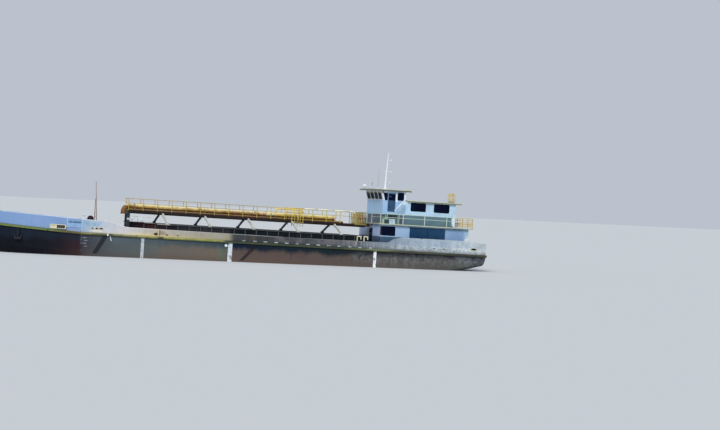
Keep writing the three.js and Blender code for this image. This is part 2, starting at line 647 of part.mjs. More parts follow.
function slidingLeaf(side, x0, x1) {
  const inner = LOWER.half + SLIDING.off;
  const outer = inner + SLIDING.thick;
  const [bottom, top] = [SIDE_DOORS.bottom - SLIDING.lap, SIDE_DOORS.top + SLIDING.lap];
  const leaf = sideBox(side, x0, x1, inner, outer, bottom, top);
  const middle = (x0 + x1) / 2;
  const pull = sideBox(side, middle - 0.02, middle + 0.02, outer - 0.01, outer + 0.04, 3.3, 3.5);
  return joined([leaf, pull]);
}

function slidingTracks(side) {
  const [x0, x1] = [SIDE_DOORS.bow - SLIDING.travel - 0.1, SIDE_DOORS.aft + SLIDING.travel + 0.1];
  const outer = LOWER.half + SLIDING.off + SLIDING.thick + 0.02;
  const bottom = SIDE_DOORS.bottom - SLIDING.lap - GAP;
  const top = SIDE_DOORS.top + SLIDING.lap + 0.012;
  return [
    sideBox(side, x0, x1, LOWER.half - 0.02, outer, bottom - SLIDING.track, bottom),
    sideBox(side, x0, x1, LOWER.half - 0.02, outer, top, top + SLIDING.track),
  ];
}

// A leaf in a side wall, hinged at its forward edge.
function sideLeaf(side, half, { bow, aft, bottom, top }) {
  const [z0, z1] = [bottom + DOOR_GAP, top - DOOR_GAP];
  const y = side * (half + HINGE_OUT);
  const ys = side < 0 ? [-half, -half + WALL] : [half - WALL, half];
  const arms = DOOR_ARMS.map((share) => {
    const z = z0 + share * (z1 - z0);
    const armYs = side < 0 ? [y - 0.01, -half + 0.02] : [half - 0.02, y + 0.01];
    return [bow, bow + ARM_LONG, ...armYs, z, z + 0.08];
  });
  return hingedLeaf([bow + DOOR_GAP, aft - DOOR_GAP, ...ys, z0, z1], [bow, y, z0 + 0.1, z1 - 0.1], arms);
}

// A leaf in the end wall that starts at x, opening forward (out -1) or aft (out 1), hinged at y1.
function endLeaf(x, out, { y0, y1, bottom, top }) {
  const [z0, z1] = [bottom + DOOR_GAP, top - DOOR_GAP];
  const face = out < 0 ? x : x + WALL;
  const axisX = face + out * HINGE_OUT;
  const arms = DOOR_ARMS.map((share) => {
    const z = z0 + share * (z1 - z0);
    const armXs = [face - out * 0.02, axisX + out * 0.01].sort((a, b) => a - b);
    return [...armXs, y1 - ARM_LONG, y1, z, z + 0.08];
  });
  const leaf = [x, x + WALL, y0 + DOOR_GAP, y1 - DOOR_GAP, z0, z1];
  return hingedLeaf(leaf, [axisX, y1, z0 + 0.1, z1 - 0.1], arms);
}

// Lugs on a wall that carry a hinge tube from below and above.
function sideLugs(side, half, hingeX, bottom, top) {
  const y = half + HINGE_OUT;
  const [z0, z1] = [bottom + DOOR_GAP + 0.1, top - DOOR_GAP - 0.1];
  return [[z0 - 0.06 - GAP, z0 - GAP], [z1 + GAP, z1 + 0.06 + GAP]].map(([a, b]) =>
    sideBox(side, hingeX - 0.05, hingeX + 0.05, half - 0.02, y + HINGE_RADIUS, a, b));
}

function endLugs(face, out, hingeY, bottom, top) {
  const xs = [face - out * 0.02, face + out * (HINGE_OUT + HINGE_RADIUS)].sort((a, b) => a - b);
  const [z0, z1] = [bottom + DOOR_GAP + 0.1, top - DOOR_GAP - 0.1];
  return [[z0 - 0.06 - GAP, z0 - GAP], [z1 + GAP, z1 + 0.06 + GAP]].map(([a, b]) =>
    box(...xs, hingeY - 0.05, hingeY + 0.05, a, b));
}

// Lugs are trimmed so that they stay out of the doorway.
function wallWithLugs(wall, lugs, doorways) {
  return joined([wall, cut(joined(lugs), doorways)]);
}

// The bridge deck and its rails.

function bridgeDeck() {
  const { bow, aft, half, bottom, top } = BRIDGE_DECK;
  return box(bow, aft, -half, half, bottom, top);
}

function bridgeRails() {
  const { top, middle, half, bow, aft } = BRIDGE_RAIL;
  const base = BRIDGE_DECK.top + GAP;
  const upright = (x, y) => railPost(x, y, base, top);
  const { posts, closeFrom, closeBars, gapHalf, crossPost } = BRIDGE_RAIL;
  const bar = (from, to, z, share = 0.85) => rod([...from, z], [...to, z], RAIL_BAR * share, 6);
  const sides = SIDES.flatMap(([side]) => {
    const y = side * half;
    return [
      ...[bow, ...posts, aft].map((x) => upright(x, y)),
      bar([bow, y], [aft, y], top, 1),
      bar([bow, y], [aft, y], middle),
      ...closeBars.map((z) => bar([closeFrom, y], [aft, y], z)),
    ];
  });
  const front = SIDES.flatMap(([side]) => [
    upright(bow, side * gapHalf),
    upright(bow, side * crossPost),
    bar([bow, side * gapHalf], [bow, side * half], top, 1),
    bar([bow, side * gapHalf], [bow, side * half], middle),
  ]);
  const back = [-crossPost, -0.85, 0.85, crossPost].map((y) => upright(aft, y));
  const backBars = [top, middle, ...closeBars].map((z) => bar([aft, -half], [aft, half], z));
  return joined([...sides, ...front, ...back, ...backBars]);
}

// The upper house and its roof.

function upperHouse() {
  const { bow, aft, half, top } = UPPER;
  const base = BRIDGE_DECK.top + GAP;
  const outside = box(bow + GAP, aft, -half, half, base, top - GAP);
  const inside = box(bow - 1, aft - WALL, -half + WALL, half - WALL, base - 1, top + 1);
  const windows = UPPER_WINDOWS.map(([x0, x1, z0, z1]) => box(x0, x1, -half - 1, half + 1, z0, z1));
  const door = box(aft - 1, aft + 1, UPPER_DOOR.y0, UPPER_DOOR.y1, UPPER_DOOR.bottom, UPPER_DOOR.top);
  const lugs = endLugs(aft, 1, UPPER_DOOR.y1, UPPER_DOOR.bottom, UPPER_DOOR.top);
  return wallWithLugs(cut(outside, [inside, ...windows, door]), lugs, [door]);
}

function upperRoof() {
  const { bow, aft, half, thick } = UPPER_ROOF;
  return box(bow, aft, -half, half, UPPER.top, UPPER.top + thick);
}

// Two grab hoops over the roof hatch, tied by cross bars at the foot and halfway up.
const HOOPS = {
  bow: 19.3, aft: 19.85, sides: [-2.75, -2.15], shoulder: 7.62, top: 7.74, corner: 0.15, middle: 7.2,
  radius: 0.028, foot: 0.05, footThick: 0.03,
};

function roofHoops() {
  const { bow, aft, sides, shoulder, top, corner, middle, radius, foot, footThick } = HOOPS;
  const base = UPPER.top + UPPER_ROOF.thick + GAP;
  const outline = [
    [bow, base], [bow, shoulder], [bow + corner, top], [aft - corner, top], [aft, shoulder], [aft, base],
  ];
  const hoops = sides.flatMap((y) => outline.slice(1).map(([x, z], i) =>
    rod([outline[i][0], y, outline[i][1]], [x, y, z], radius, 6)));
  const [inner, outer] = [sides[0] - foot, sides[1] + foot];
  const feet = [bow, aft].map((x) => box(x - foot, x + foot, inner, outer, base, base + footThick));
  const bars = [bow, aft].map((x) => rod([x, sides[0], middle], [x, sides[1], middle], radius * 0.8, 6));
  return joined([...hoops, ...feet, ...bars]);
}

// The wheelhouse.

const CABIN_DOOR = { bow: 12.98, aft: 13.73, bottom: 5.62, top: 7.42 };
const FRONT_PANES = [[-2.75, -1.5], [-1.32, -0.1], [0.1, 1.32], [1.5, 2.75]];
const QUARTER_PANE = [[12.68, 6.74], [12.88, 6.74], [12.88, 7.4], [12.5, 7.4]];
const REAR_SIDE_PANE = [13.94, 14.53, 6.79, 7.48];
const BACK_PANES = [[-2.3, -1.0, 6.95, 7.45], [1.0, 2.3, 6.95, 7.45]];

function wheelhouseFront() {
  const { bow, half, sill, top, lean } = WHEELHOUSE;
  const base = BRIDGE_DECK.top + GAP;
  const outline = [
    [bow, base], [bow + WALL, base], [bow + WALL, sill],
    [bow + WALL - lean, top - GAP], [bow - lean, top - GAP], [bow, sill],
  ];
  const wall = sideProfile(outline, -half, half);
  const panes = FRONT_PANES.map(([y0, y1]) => box(bow - 1, bow + 1, y0, y1, sill + 0.05, top - 0.12));
  return cut(wall, panes);
}

function wheelhouseSide(side) {
  const { bow, aft, half, sill, top, lean } = WHEELHOUSE;
  const base = BRIDGE_DECK.top + GAP;
  const [front, back, head] = [bow + WALL + GAP, aft - WALL - GAP, top - GAP];
  const outline = [[front, base], [back, base], [back, head], [front - lean, head], [front, sill]];
  const [y0, y1] = side < 0 ? [-half, -half + WALL] : [half - WALL, half];
  const wall = sideProfile(outline, y0, y1);
  const quarter = sideProfile(QUARTER_PANE, -half - 1, half + 1);
  const [paneBow, paneAft, paneSill, paneTop] = REAR_SIDE_PANE;
  const rear = box(paneBow, paneAft, -half - 1, half + 1, paneSill, paneTop);
  const [doorBottom, doorTop] = [CABIN_DOOR.bottom, CABIN_DOOR.top];
  const doorway = sideBox(side, CABIN_DOOR.bow, CABIN_DOOR.aft, half - 1, half + 1, doorBottom, doorTop);
  const lugs = sideLugs(side, half, CABIN_DOOR.bow, CABIN_DOOR.bottom, CABIN_DOOR.top);
  return wallWithLugs(cut(wall, [quarter, rear, doorway]), lugs, [doorway]);
}

function wheelhouseBack() {
  const { aft, half, top } = WHEELHOUSE;
  const wall = box(aft - WALL, aft, -half, half, BRIDGE_DECK.top + GAP, top - GAP);
  const panes = BACK_PANES.map(([y0, y1, z0, z1]) => box(aft - 1, aft + 1, y0, y1, z0, z1));
  return cut(wall, panes);
}

function wheelhouseFloor() {
  const { bow, aft, half, floor } = WHEELHOUSE;
  const inset = WALL + GAP;
  return box(bow + inset, aft - inset, -half + inset, half - inset, floor, floor + 0.08);
}

// A lamp on a post and a whip aerial, on the centreline of the roof.
const ROOF_GEAR = {
  post: 12.05, lampBottom: 8.2, lampTop: 8.42, whipFoot: 12.65, whipHead: 12.74, whipTop: 9.7,
};

function wheelhouseRoof() {
  const { bow, aft, half, thick, crown } = WHEELHOUSE_ROOF;
  const z = WHEELHOUSE.top;
  const crest = spread(1, -1, 9).map((share) => [share * half, z + thick + crown * (1 - share * share)]);
  const roof = crossSection([[-half, z], [half, z], ...crest], bow, aft);
  const { post, lampBottom, lampTop, whipFoot, whipHead, whipTop } = ROOF_GEAR;
  const lampPost = rod([post, 0, z + 0.1], [post, 0, lampBottom + 0.1], 0.025, 6);
  const lamp = rod([post, 0, lampBottom], [post, 0, lampTop], 0.07, 10);
  const whip = rod([whipFoot, 0, z + 0.1], [whipHead, 0, whipTop], 0.022, 6, 0.01);
  return joined([roof, lampPost, lamp, whip]);
}

// Landing, step and sloping handrail outside a wheelhouse door.
const STEPS = {
  inner: 3.04, outer: 3.7, landing: [12.68, 14.08, 5.4, 5.46], legs: [12.75, 13.95], leg: 0.06,
  tread: [12.4, 13.6, 4.93], handrail: [13.62, 5.86, 14.36, 6.7], posts: [[13.62, 5.9], [14.05, 6.38]],
};

function wheelhouseSteps(side) {
  const { inner, outer, leg } = STEPS;
  const base = BRIDGE_DECK.top + GAP;
  const [x0, x1, bottom, top] = STEPS.landing;
  const landing = sideBox(side, x0, x1, inner, outer, bottom, top);
  const upright = (x, y) => sideBox(side, x, x + leg, y, y + leg, base, bottom + 0.02);
  const legs = STEPS.legs.flatMap((x) => [upright(x, outer - leg - 0.04), upright(x, inner + 0.02)]);
  const [treadBow, treadAft, treadTop] = STEPS.tread;
  const tread = sideBox(side, treadBow, treadAft, inner, outer + 0.05, base, treadTop);
  const y = side * (outer - 0.04);
  const [railBow, railLow, railAft, railHigh] = STEPS.handrail;
  const posts = STEPS.posts.map(([x, head]) => rod([x, y, bottom + 0.02], [x, y, head], 0.03, 6));
  const handrail = rod([railBow, y, railLow], [railAft, y, railHigh], 0.035, 6);
  return joined([landing, ...legs, tread, ...posts, handrail]);
}

// Rows of arms: height, reach aft, reach forward.
const MAST = {
  foot: 13.42, head: 13.56, top: 11.45, plate: 0.25,
  arms: [[10.68, 0.45, 0], [9.54, 0.5, 0.25], [8.5, 0.5, 0]],
};

function mastShape() {
  const foot = WHEELHOUSE.top + WHEELHOUSE_ROOF.thick + WHEELHOUSE_ROOF.crown + GAP;
  const [x0, x1, top, half] = [MAST.foot, MAST.head, MAST.top, MAST.plate];
  const at = (z) => x0 + (x1 - x0) * (z - foot) / (top - foot);
  const pole = rod([x0, 0, foot + 0.01], [x1, 0, top], 0.13, 12, 0.05);
  const plate = box(x0 - half, x0 + half, -half, half, foot, foot + 0.04);
  const arms = MAST.arms.flatMap(([z, aft, fore]) => [
    rod([at(z) - fore, 0, z], [at(z) + aft, 0, z], 0.03, 6),
    rod([at(z) + aft - 0.05, 0, z - 0.1], [at(z) + aft - 0.05, 0, z + 0.1], 0.07, 8),
  ]);
  return joined([pole, plate, ...arms]);
}

const LIGHT = { x: 11.97, y: 2.6, base: 7.79, stem: 0.1, height: 0.25, radius: 0.2, half: 0.16 };

function searchlight() {
  const { x, y, base, stem, height, radius, half } = LIGHT;
  const neck = rod([x, y, base + 2 * GAP], [x, y, base + stem], 0.05, 12);
  const drum = rod([x - half, y, base + height], [x + half, y, base + height], radius, 16);
  return joined([neck, drum]);
}

function lightBase() {
  const { x, y, base } = LIGHT;
  return rod([x, y, base - 0.06], [x, y, base], 0.1, 12);
}

// Inside the wheelhouse.

const HELM = {
  deskBow: 12.7, toe: 13.0, face: 13.1, deskHalf: 0.9, wheelX: 13.22, height: 6.5, radius: 0.36, axle: 0.025,
};
const CHAIR = {
  x: 13.95, foot: 0.22, post: 0.04, seat: [13.7, 14.2, 6.05, 6.17], back: [14.12, 14.22, 6.1, 6.75],
};
const ENGINES = {
  bedBow: 13.6, bedAft: 16.5, bedHalf: 2.3, bow: 13.8, aft: 16.3, inner: 0.9, outer: 1.9, high: 1.35,
};

function helmConsole() {
  const floor = WHEELHOUSE.floor + 0.08 + GAP;
  const { face, height, axle, deskBow, deskHalf, toe } = HELM;
  const outline = [[deskBow, floor], [toe, floor], [face, 6.35], [face, 6.62], [deskBow, 6.72]];
  const desk = sideProfile(outline, -deskHalf, deskHalf);
  const bore = rod([face - 0.15, 0, height], [face + 0.1, 0, height], boreRadius(axle, 16), 16);
  return cut(desk, [bore]);
}

function helmWheel() {
  const { face, wheelX, height, radius, axle } = HELM;
  const rim = new THREE.TorusGeometry(radius, 0.022, 6, 18).rotateY(Math.PI / 2).translate(wheelX, 0, height);
  const spokes = spread(0, Math.PI, 4).slice(0, 3).map((angle) => {
    const [dy, dz] = [Math.cos(angle) * radius, Math.sin(angle) * radius];
    return rod([wheelX, -dy, height - dz], [wheelX, dy, height + dz], 0.014, 6);
  });
  const shaft = rod([face - 0.14, 0, height], [wheelX + 0.02, 0, height], axle, 16);
  return joined([rim, ...spokes, shaft]);
}

function helmChair() {
  const floor = WHEELHOUSE.floor + 0.08 + GAP;
  const { x } = CHAIR;
  const [seatBow, seatAft, seatBottom, seatTop] = CHAIR.seat;
  const [backBow, backAft, backBottom, backTop] = CHAIR.back;
  const foot = rod([x, 0, floor], [x, 0, floor + 0.04], CHAIR.foot, 12);
  const post = rod([x, 0, floor + 0.02], [x, 0, seatBottom + 0.03], CHAIR.post, 8);
  const seat = box(seatBow, seatAft, -0.25, 0.25, seatBottom, seatTop);
  const back = box(backBow, backAft, -0.23, 0.23, backBottom, backTop);
  return joined([foot, post, seat, back]);
}

// Engines in their well, one to each shaft, on one bed.
function engines() {
  const { bedBow, bedAft, bedHalf, bow, aft, inner, outer, high } = ENGINES;
  const z = WELL.floor + GAP;
  const bed = box(bedBow, bedAft, -bedHalf, bedHalf, z, z + 0.12);
  const blocks = SIDES.map(([side]) => sideBox(side, bow, aft, inner, outer, z + 0.1, z + high));
  return joined([bed, ...blocks]);
}

// Propellers and rudders.

function propeller(side) {
  const { place, radius, hub, hubLong, blades } = PROPELLER;
  const y = side * SHAFT.side;
  const turned = spread(0, Math.PI * 2, blades + 1).slice(1).map((angle) => {
    const outline = new THREE.Shape();
    outline.absellipse(0, radius * 0.56, radius * 0.27, radius * 0.46, 0, Math.PI * 2);
    const blade = new THREE.ExtrudeGeometry(outline, { depth: 0.03, bevelEnabled: false, curveSegments: 8 });
    blade.translate(0, 0, -0.015).rotateY(side * 0.9);
    return blade.rotateX(angle).translate(place, y, SHAFT.height);
  });
  const [hubBow, hubAft] = [place - hubLong / 2, place + hubLong / 2];
  const boss = rod([hubBow, y, SHAFT.height], [hubAft, y, SHAFT.height], hub, 12, hub * 0.6);
  const shaft = rod([SHAFT.aft - 0.45, y, SHAFT.height], [place, y, SHAFT.height], SHAFT.radius, 16);
  return joined([boss, shaft, ...turned]);
}

function rudder(side) {
  const { stock, stockRadius, lead, trail, bottom, top } = RUDDER;
  const y = side * SHAFT.side;
  const foil = [[-lead, 0], [-lead * 0.6, -0.05], [0, -0.07], [trail * 0.4, -0.05], [trail, -0.01],
    [trail, 0.01], [trail * 0.4, 0.05], [0, 0.07], [-lead * 0.6, 0.05]];
  const blade = plan(foil.map(([x, w]) => [stock + x, y + w]), bottom, top);
  return joined([blade, rod([stock, y, top - 0.2], [stock, y, 1.2 - GAP], stockRadius, 24)]);
}

// Assembly.

const LOOKS = {
  hull: [0x3c434d, 0.75, 0.1],
  rubRail: [0x9a9632, 0.7, 0.1],
  bulwark: [0xb9c3cf, 0.6, 0.1],
  coaming: [0x3a2f33, 0.85, 0.1],
  yellow: [0xe6be3c, 0.55, 0.1],
  greyBlue: [0x8fa0b5, 0.6, 0.1],
  rust: [0x7a4a30, 0.9, 0.1],
  white: [0xd4dce6, 0.5, 0.05],
  cream: [0xe1e1c8, 0.6, 0.05],
  blue: [0x285a8c, 0.5, 0.1],
  darkBlue: [0x1c3c5c, 0.5, 0.1],
  steel: [0x6d7076, 0.5, 0.7],
  black: [0x202226, 0.7, 0.1],
  bronze: [0x9c7a3c, 0.4, 0.8],
};

const vessel = new THREE.Group();

function piece(name, geometry, look) {
  const [color, roughness, metalness] = LOOKS[look];
  const plain = geometry.clone().scale(MODEL_SCALE, MODEL_SCALE, MODEL_SCALE);
  const mesh = new THREE.Mesh(plain, new THREE.MeshStandardMaterial({ color, roughness, metalness }));
  mesh.name = name;
  vessel.add(mesh);
}

piece('hull', hullShape(), 'hull');
piece('bulwark_bow', bowBulwark(), 'bulwark');
piece('bulwark_stern', sternBulwark(), 'bulwark');
piece('hold_coaming', coamingShape(), 'coaming');
piece('gantry_frame', gantryFrame(), 'yellow');
piece('gantry_column', gantryColumn(), 'greyBlue');
piece('gantry_end_rail', gantryEndRail(), 'yellow');
piece('loading_pipe', loadingPipe(), 'yellow');
piece('pipe_elbow', pipeElbow(), 'rust');
piece('fore_mast', foreMast(), 'greyBlue');
piece('windlass_frame', windlassFrame(), 'rust');
piece('windlass_drum', windlassDrum(), 'rust');

piece('lower_wall_front', lowerEndWall(LOWER.bow, -1, FRONT_DOOR, []), 'white');
piece('lower_wall_aft', lowerEndWall(LOWER.aft - WALL, 1, AFT_DOOR, AFT_WINDOWS), 'white');
piece('front_door', endLeaf(LOWER.bow, -1, FRONT_DOOR), 'darkBlue');
piece('aft_door', endLeaf(LOWER.aft - WALL, 1, AFT_DOOR), 'darkBlue');
piece('engines', engines(), 'steel');
piece('bridge_deck', bridgeDeck(), 'cream');
piece('bridge_rails', bridgeRails(), 'cream');
piece('upper_house_walls', upperHouse(), 'white');
piece('upper_door', endLeaf(UPPER.aft - WALL, 1, UPPER_DOOR), 'darkBlue');
piece('upper_roof', upperRoof(), 'cream');
piece('roof_hoops', roofHoops(), 'yellow');
piece('wheelhouse_front', wheelhouseFront(), 'white');
piece('wheelhouse_back', wheelhouseBack(), 'white');
piece('wheelhouse_floor', wheelhouseFloor(), 'steel');
piece('wheelhouse_roof', joined([wheelhouseRoof(), lightBase()]), 'cream');
piece('mast', mastShape(), 'white');
piece('searchlight', searchlight(), 'white');
piece('helm_console', helmConsole(), 'black');
piece('helm_wheel', helmWheel(), 'black');
piece('helm_chair', helmChair(), 'black');

for (const [side, name] of SIDES) {
  piece(`rub_rail_${name}`, rubRail(side), 'rubRail');
  piece(`bulwark_${name}`, sideBulwark(side), 'bulwark');
  piece(`anchor_${name}`, housedAnchor(side), 'rust');
  piece(`tank_vents_${name}`, tankVents(side), 'white');
  piece(`gantry_rail_${name}`, gantryRail(side), 'yellow');

  const { bow, aft } = SIDE_DOORS;
  const middle = (bow + aft) / 2;
  piece(`lower_wall_${name}`, joined([lowerSideWall(side), ...slidingTracks(side)]), 'white');
  piece(`engine_door_fore_${name}`, slidingLeaf(side, bow - SLIDING.lap, middle - SLIDING.half), 'blue');
  piece(`engine_door_aft_${name}`, slidingLeaf(side, middle + SLIDING.half, aft + SLIDING.lap), 'blue');

  piece(`wheelhouse_side_${name}`, wheelhouseSide(side), 'white');
  piece(`wheelhouse_door_${name}`, sideLeaf(side, WHEELHOUSE.half, CABIN_DOOR), 'blue');
  piece(`wheelhouse_steps_${name}`, wheelhouseSteps(side), 'white');
  piece(`propeller_${name}`, propeller(side), 'bronze');
  piece(`rudder_${name}`, rudder(side), 'black');
}

export default vessel;
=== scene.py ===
import math

import bmesh
import bpy
from mathutils import Matrix, Vector


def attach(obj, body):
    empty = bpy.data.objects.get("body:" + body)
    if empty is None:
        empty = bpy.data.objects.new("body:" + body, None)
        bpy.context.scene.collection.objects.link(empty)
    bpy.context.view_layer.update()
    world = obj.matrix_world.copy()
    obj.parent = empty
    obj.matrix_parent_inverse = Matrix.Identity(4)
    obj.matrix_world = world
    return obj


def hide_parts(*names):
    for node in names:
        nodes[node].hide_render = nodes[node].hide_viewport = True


# Lengths below are metres on the full-size vessel; the model is at 1:2.
# +X aft, +Y starboard, +Z up, origin on the waterline amidships.
toModel = 0.5


def put(name, data):
    thing = bpy.data.objects.new(name, data)
    bpy.context.scene.collection.objects.link(thing)
    return thing


# Camera, at the photograph's viewing angle

photoView = dict(place=(-20.978, -98.866, 2.56), yaw=15.0, roll=3.55, lens=104.0, sensor=36, farthest=2000)


def makeCamera(place, yaw, roll, lens, sensor, farthest):
    yaw, roll = math.radians(yaw), math.radians(roll)
    ahead = Vector((math.sin(yaw), math.cos(yaw), 0))
    level = Vector((math.cos(yaw), -math.sin(yaw), 0))
    upright = level.cross(ahead)
    right = level * math.cos(roll) + upright * math.sin(roll)
    up = upright * math.cos(roll) - level * math.sin(roll)
    turn = Matrix((right, up, -ahead)).transposed().to_4x4()
    cameraData = bpy.data.cameras.new("photoCamera")
    cameraData.lens = lens
    cameraData.sensor_width = sensor
    cameraData.clip_end = farthest
    camera = put("photoCamera", cameraData)
    camera.matrix_world = Matrix.Translation(place) @ turn
    bpy.context.scene.camera = camera


makeCamera(**photoView)

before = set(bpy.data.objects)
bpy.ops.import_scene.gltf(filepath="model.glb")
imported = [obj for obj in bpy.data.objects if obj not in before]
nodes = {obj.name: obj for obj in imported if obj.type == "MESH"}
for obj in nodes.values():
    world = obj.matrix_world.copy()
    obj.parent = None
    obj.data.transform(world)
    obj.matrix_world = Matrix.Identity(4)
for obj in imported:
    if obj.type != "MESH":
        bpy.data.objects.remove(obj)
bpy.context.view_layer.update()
sides = ((-1, "port"), (1, "starboard"))
print("frame loaded:", len(nodes), "nodes")


# Ways a plate can lie: across it, up it, and out of its face

flat = ((1, 0, 0), (0, 1, 0), (0, 0, 1))


def alongside(side):
    return (1, 0, 0), (0, 0, 1), (0, side, 0)


def athwart(out):
    return (0, 1, 0), (0, 0, 1), (out, 0, 0)


def rib(side):
    return (0, side, 0), (0, 0, 1), (1, 0, 0)


def sizes(look, keys):
    return [look[key] for key in keys.split()]


# Mesh helpers, in full-size metres


def block(bm, x0, x1, y0, y1, z0, z1):
    made = bmesh.ops.create_cube(bm, size=1.0)["verts"]
    bmesh.ops.scale(bm, vec=(abs(x1 - x0), abs(y1 - y0), abs(z1 - z0)), verts=made)
    bmesh.ops.translate(bm, vec=((x0 + x1) / 2, (y0 + y1) / 2, (z0 + z1) / 2), verts=made)


def bar(bm, start, end, radius, around=12, endRadius=None):
    start, end = Vector(start), Vector(end)
    along = end - start
    made = bmesh.ops.create_cone(
        bm, cap_ends=True, segments=around, radius1=radius,
        radius2=radius if endRadius is None else endRadius, depth=along.length)["verts"]
    turn = along.to_track_quat("Z", "Y").to_matrix().to_4x4()
    bmesh.ops.transform(bm, matrix=Matrix.Translation((start + end) / 2) @ turn, verts=made)


def tube(bm, points, radius, around=8):
    for start, end in zip(points, points[1:]):
        bar(bm, start, end, radius, around)
    for point in points[1:-1]:
        made = bmesh.ops.create_uvsphere(bm, u_segments=around, v_segments=6, radius=radius)["verts"]
        bmesh.ops.translate(bm, vec=point, verts=made)


def circle(centre, radius, axis, count=24, height=0):
    turn = Vector(axis).to_track_quat("Z", "Y").to_matrix()
    angles = [2 * math.pi * i / count for i in range(count)]
    flatRing = [Vector((radius * math.cos(a), radius * math.sin(a), height)) for a in angles]
    return [turn @ point + Vector(centre) for point in flatRing]


def hoop(bm, centre, radius, axis, count, thick, around):
    ring = circle(centre, radius, axis, count)
    tube(bm, ring + [ring[0]], thick, around)
    return ring


def bridge(bm, rings):
    for here, there in zip(rings, rings[1:]):
        for i in range(len(here)):
            j = (i + 1) % len(here)
            bm.faces.new((here[i], here[j], there[j], there[i]))


def turned(bm, profile, foot, axis=(0, 0, 1), around=24):
    # a closed shape turned about an axis: profile rows are (radius, height)
    rings = [[bm.verts.new(point) for point in circle(foot, radius, axis, around, height)]
             for radius, height in profile]
    bridge(bm, rings)
    bm.faces.new(list(reversed(rings[0])))
    bm.faces.new(rings[-1])


def outlineAt(bm, outline, lift, origin, across, upward, outward):
    across, upward, outward = Vector(across), Vector(upward), Vector(outward)
    return [bm.verts.new(Vector(origin) + across * a + upward * b + outward * lift) for a, b in outline]


def slab(bm, outline, thick, origin, across, upward, outward):
    # a flat plate: outline rows are (along across, along upward), thickened along outward
    place = (origin, across, upward, outward)
    rings = [outlineAt(bm, outline, lift, *place) for lift in (0, thick)]
    bm.faces.new(list(reversed(rings[0])))
    bm.faces.new(rings[1])
    bridge(bm, rings)


def hollowSlab(bm, outer, inner, thick, origin, across, upward, outward):
    place = (origin, across, upward, outward)
    rings = [outlineAt(bm, outline, lift, *place)
             for outline, lift in ((outer, 0), (outer, thick), (inner, thick), (inner, 0))]
    bridge(bm, rings + rings[:1])


def roundedBox(a0, a1, b0, b1, radius, steps=5):
    corners = ((a1 - radius, b1 - radius, 0), (a0 + radius, b1 - radius, 90),
               (a0 + radius, b0 + radius, 180), (a1 - radius, b0 + radius, 270))
    points = []
    for a, b, start in corners:
        for i in range(steps + 1):
            angle = math.radians(start + 90 * i / steps)
            points.append((a + radius * math.cos(angle), b + radius * math.sin(angle)))
    return points


def boxAround(box, by, radius):
    a0, a1, b0, b1 = box
    return roundedBox(a0 - by, a1 + by, b0 - by, b1 + by, radius)


def meshFrom(name, build, look):
    mesh = bpy.data.meshes.new(name)
    bm = bmesh.new()
    build(bm, **look)
    bmesh.ops.scale(bm, vec=(toModel,) * 3, verts=bm.verts)
    bmesh.ops.recalc_face_normals(bm, faces=bm.faces)
    bm.to_mesh(mesh)
    bm.free()
    return mesh


def newPiece(name, build, finish, look={}, body="vessel", soften=0.0, smooth=False):
    mesh = meshFrom(name, build, look)
    mesh.materials.append(paints[finish])
    piece = put(name, mesh)
    if smooth:
        for face in mesh.polygons:
            face.use_smooth = True
    if soften:
        edge = piece.modifiers.new("softEdges", "BEVEL")
        edge.width = soften * toModel
        edge.segments = 2
        edge.limit_method = "ANGLE"
    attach(piece, body)
    return piece


def onBothSides(name, build, finish, look={}, **how):
    for side, sideName in sides:
        newPiece(name.replace("*", sideName), build, finish, dict(look, side=side), **how)


# Geometry Nodes: a part repeated along paths


def makeRepeatTree():
    tree = bpy.data.node_groups.new("repeatAlongPath", "GeometryNodeTree")
    face = tree.interface
    for label, kind in (("Path", "Geometry"), ("Spacing", "Float"), ("Part", "Object"),
                        ("Size Variation", "Float"), ("Seed", "Int"), ("Finish", "Material")):
        face.new_socket(label, in_out="INPUT", socket_type="NodeSocket" + kind)
    face.new_socket("Pieces", in_out="OUTPUT", socket_type="NodeSocketGeometry")
    add, link = tree.nodes.new, tree.links.new
    given, result = add("NodeGroupInput"), add("NodeGroupOutput")
    curve = add("GeometryNodeMeshToCurve")
    points = add("GeometryNodeCurveToPoints")
    points.mode = "LENGTH"
    part = add("GeometryNodeObjectInfo")
    smallest, largest = add("ShaderNodeMath"), add("ShaderNodeMath")
    smallest.operation = "SUBTRACT"
    size = add("FunctionNodeRandomValue")
    for extreme, socket in ((smallest, size.inputs[2]), (largest, size.inputs[3])):
        extreme.inputs[0].default_value = 1
        link(given.outputs["Size Variation"], extreme.inputs[1])
        link(extreme.outputs[0], socket)
    place = add("GeometryNodeInstanceOnPoints")
    realize = add("GeometryNodeRealizeInstances")
    finish = add("GeometryNodeSetMaterial")
    link(given.outputs["Path"], curve.inputs["Mesh"])
    link(curve.outputs["Curve"], points.inputs["Curve"])
    link(given.outputs["Spacing"], points.inputs["Length"])
    link(given.outputs["Part"], part.inputs["Object"])
    link(given.outputs["Seed"], size.inputs["Seed"])
    link(points.outputs["Points"], place.inputs["Points"])
    link(part.outputs["Geometry"], place.inputs["Instance"])
    link(size.outputs[1], place.inputs["Scale"])
    link(place.outputs["Instances"], realize.inputs["Geometry"])
    link(realize.outputs["Geometry"], finish.inputs["Geometry"])
    link(given.outputs["Finish"], finish.inputs["Material"])
    link(finish.outputs["Geometry"], result.inputs["Pieces"])
    return tree


repeatTree = makeRepeatTree()
repeatInputs = {item.name: item.identifier for item in repeatTree.interface.items_tree
                if item.item_type == "SOCKET" and item.in_out == "INPUT"}


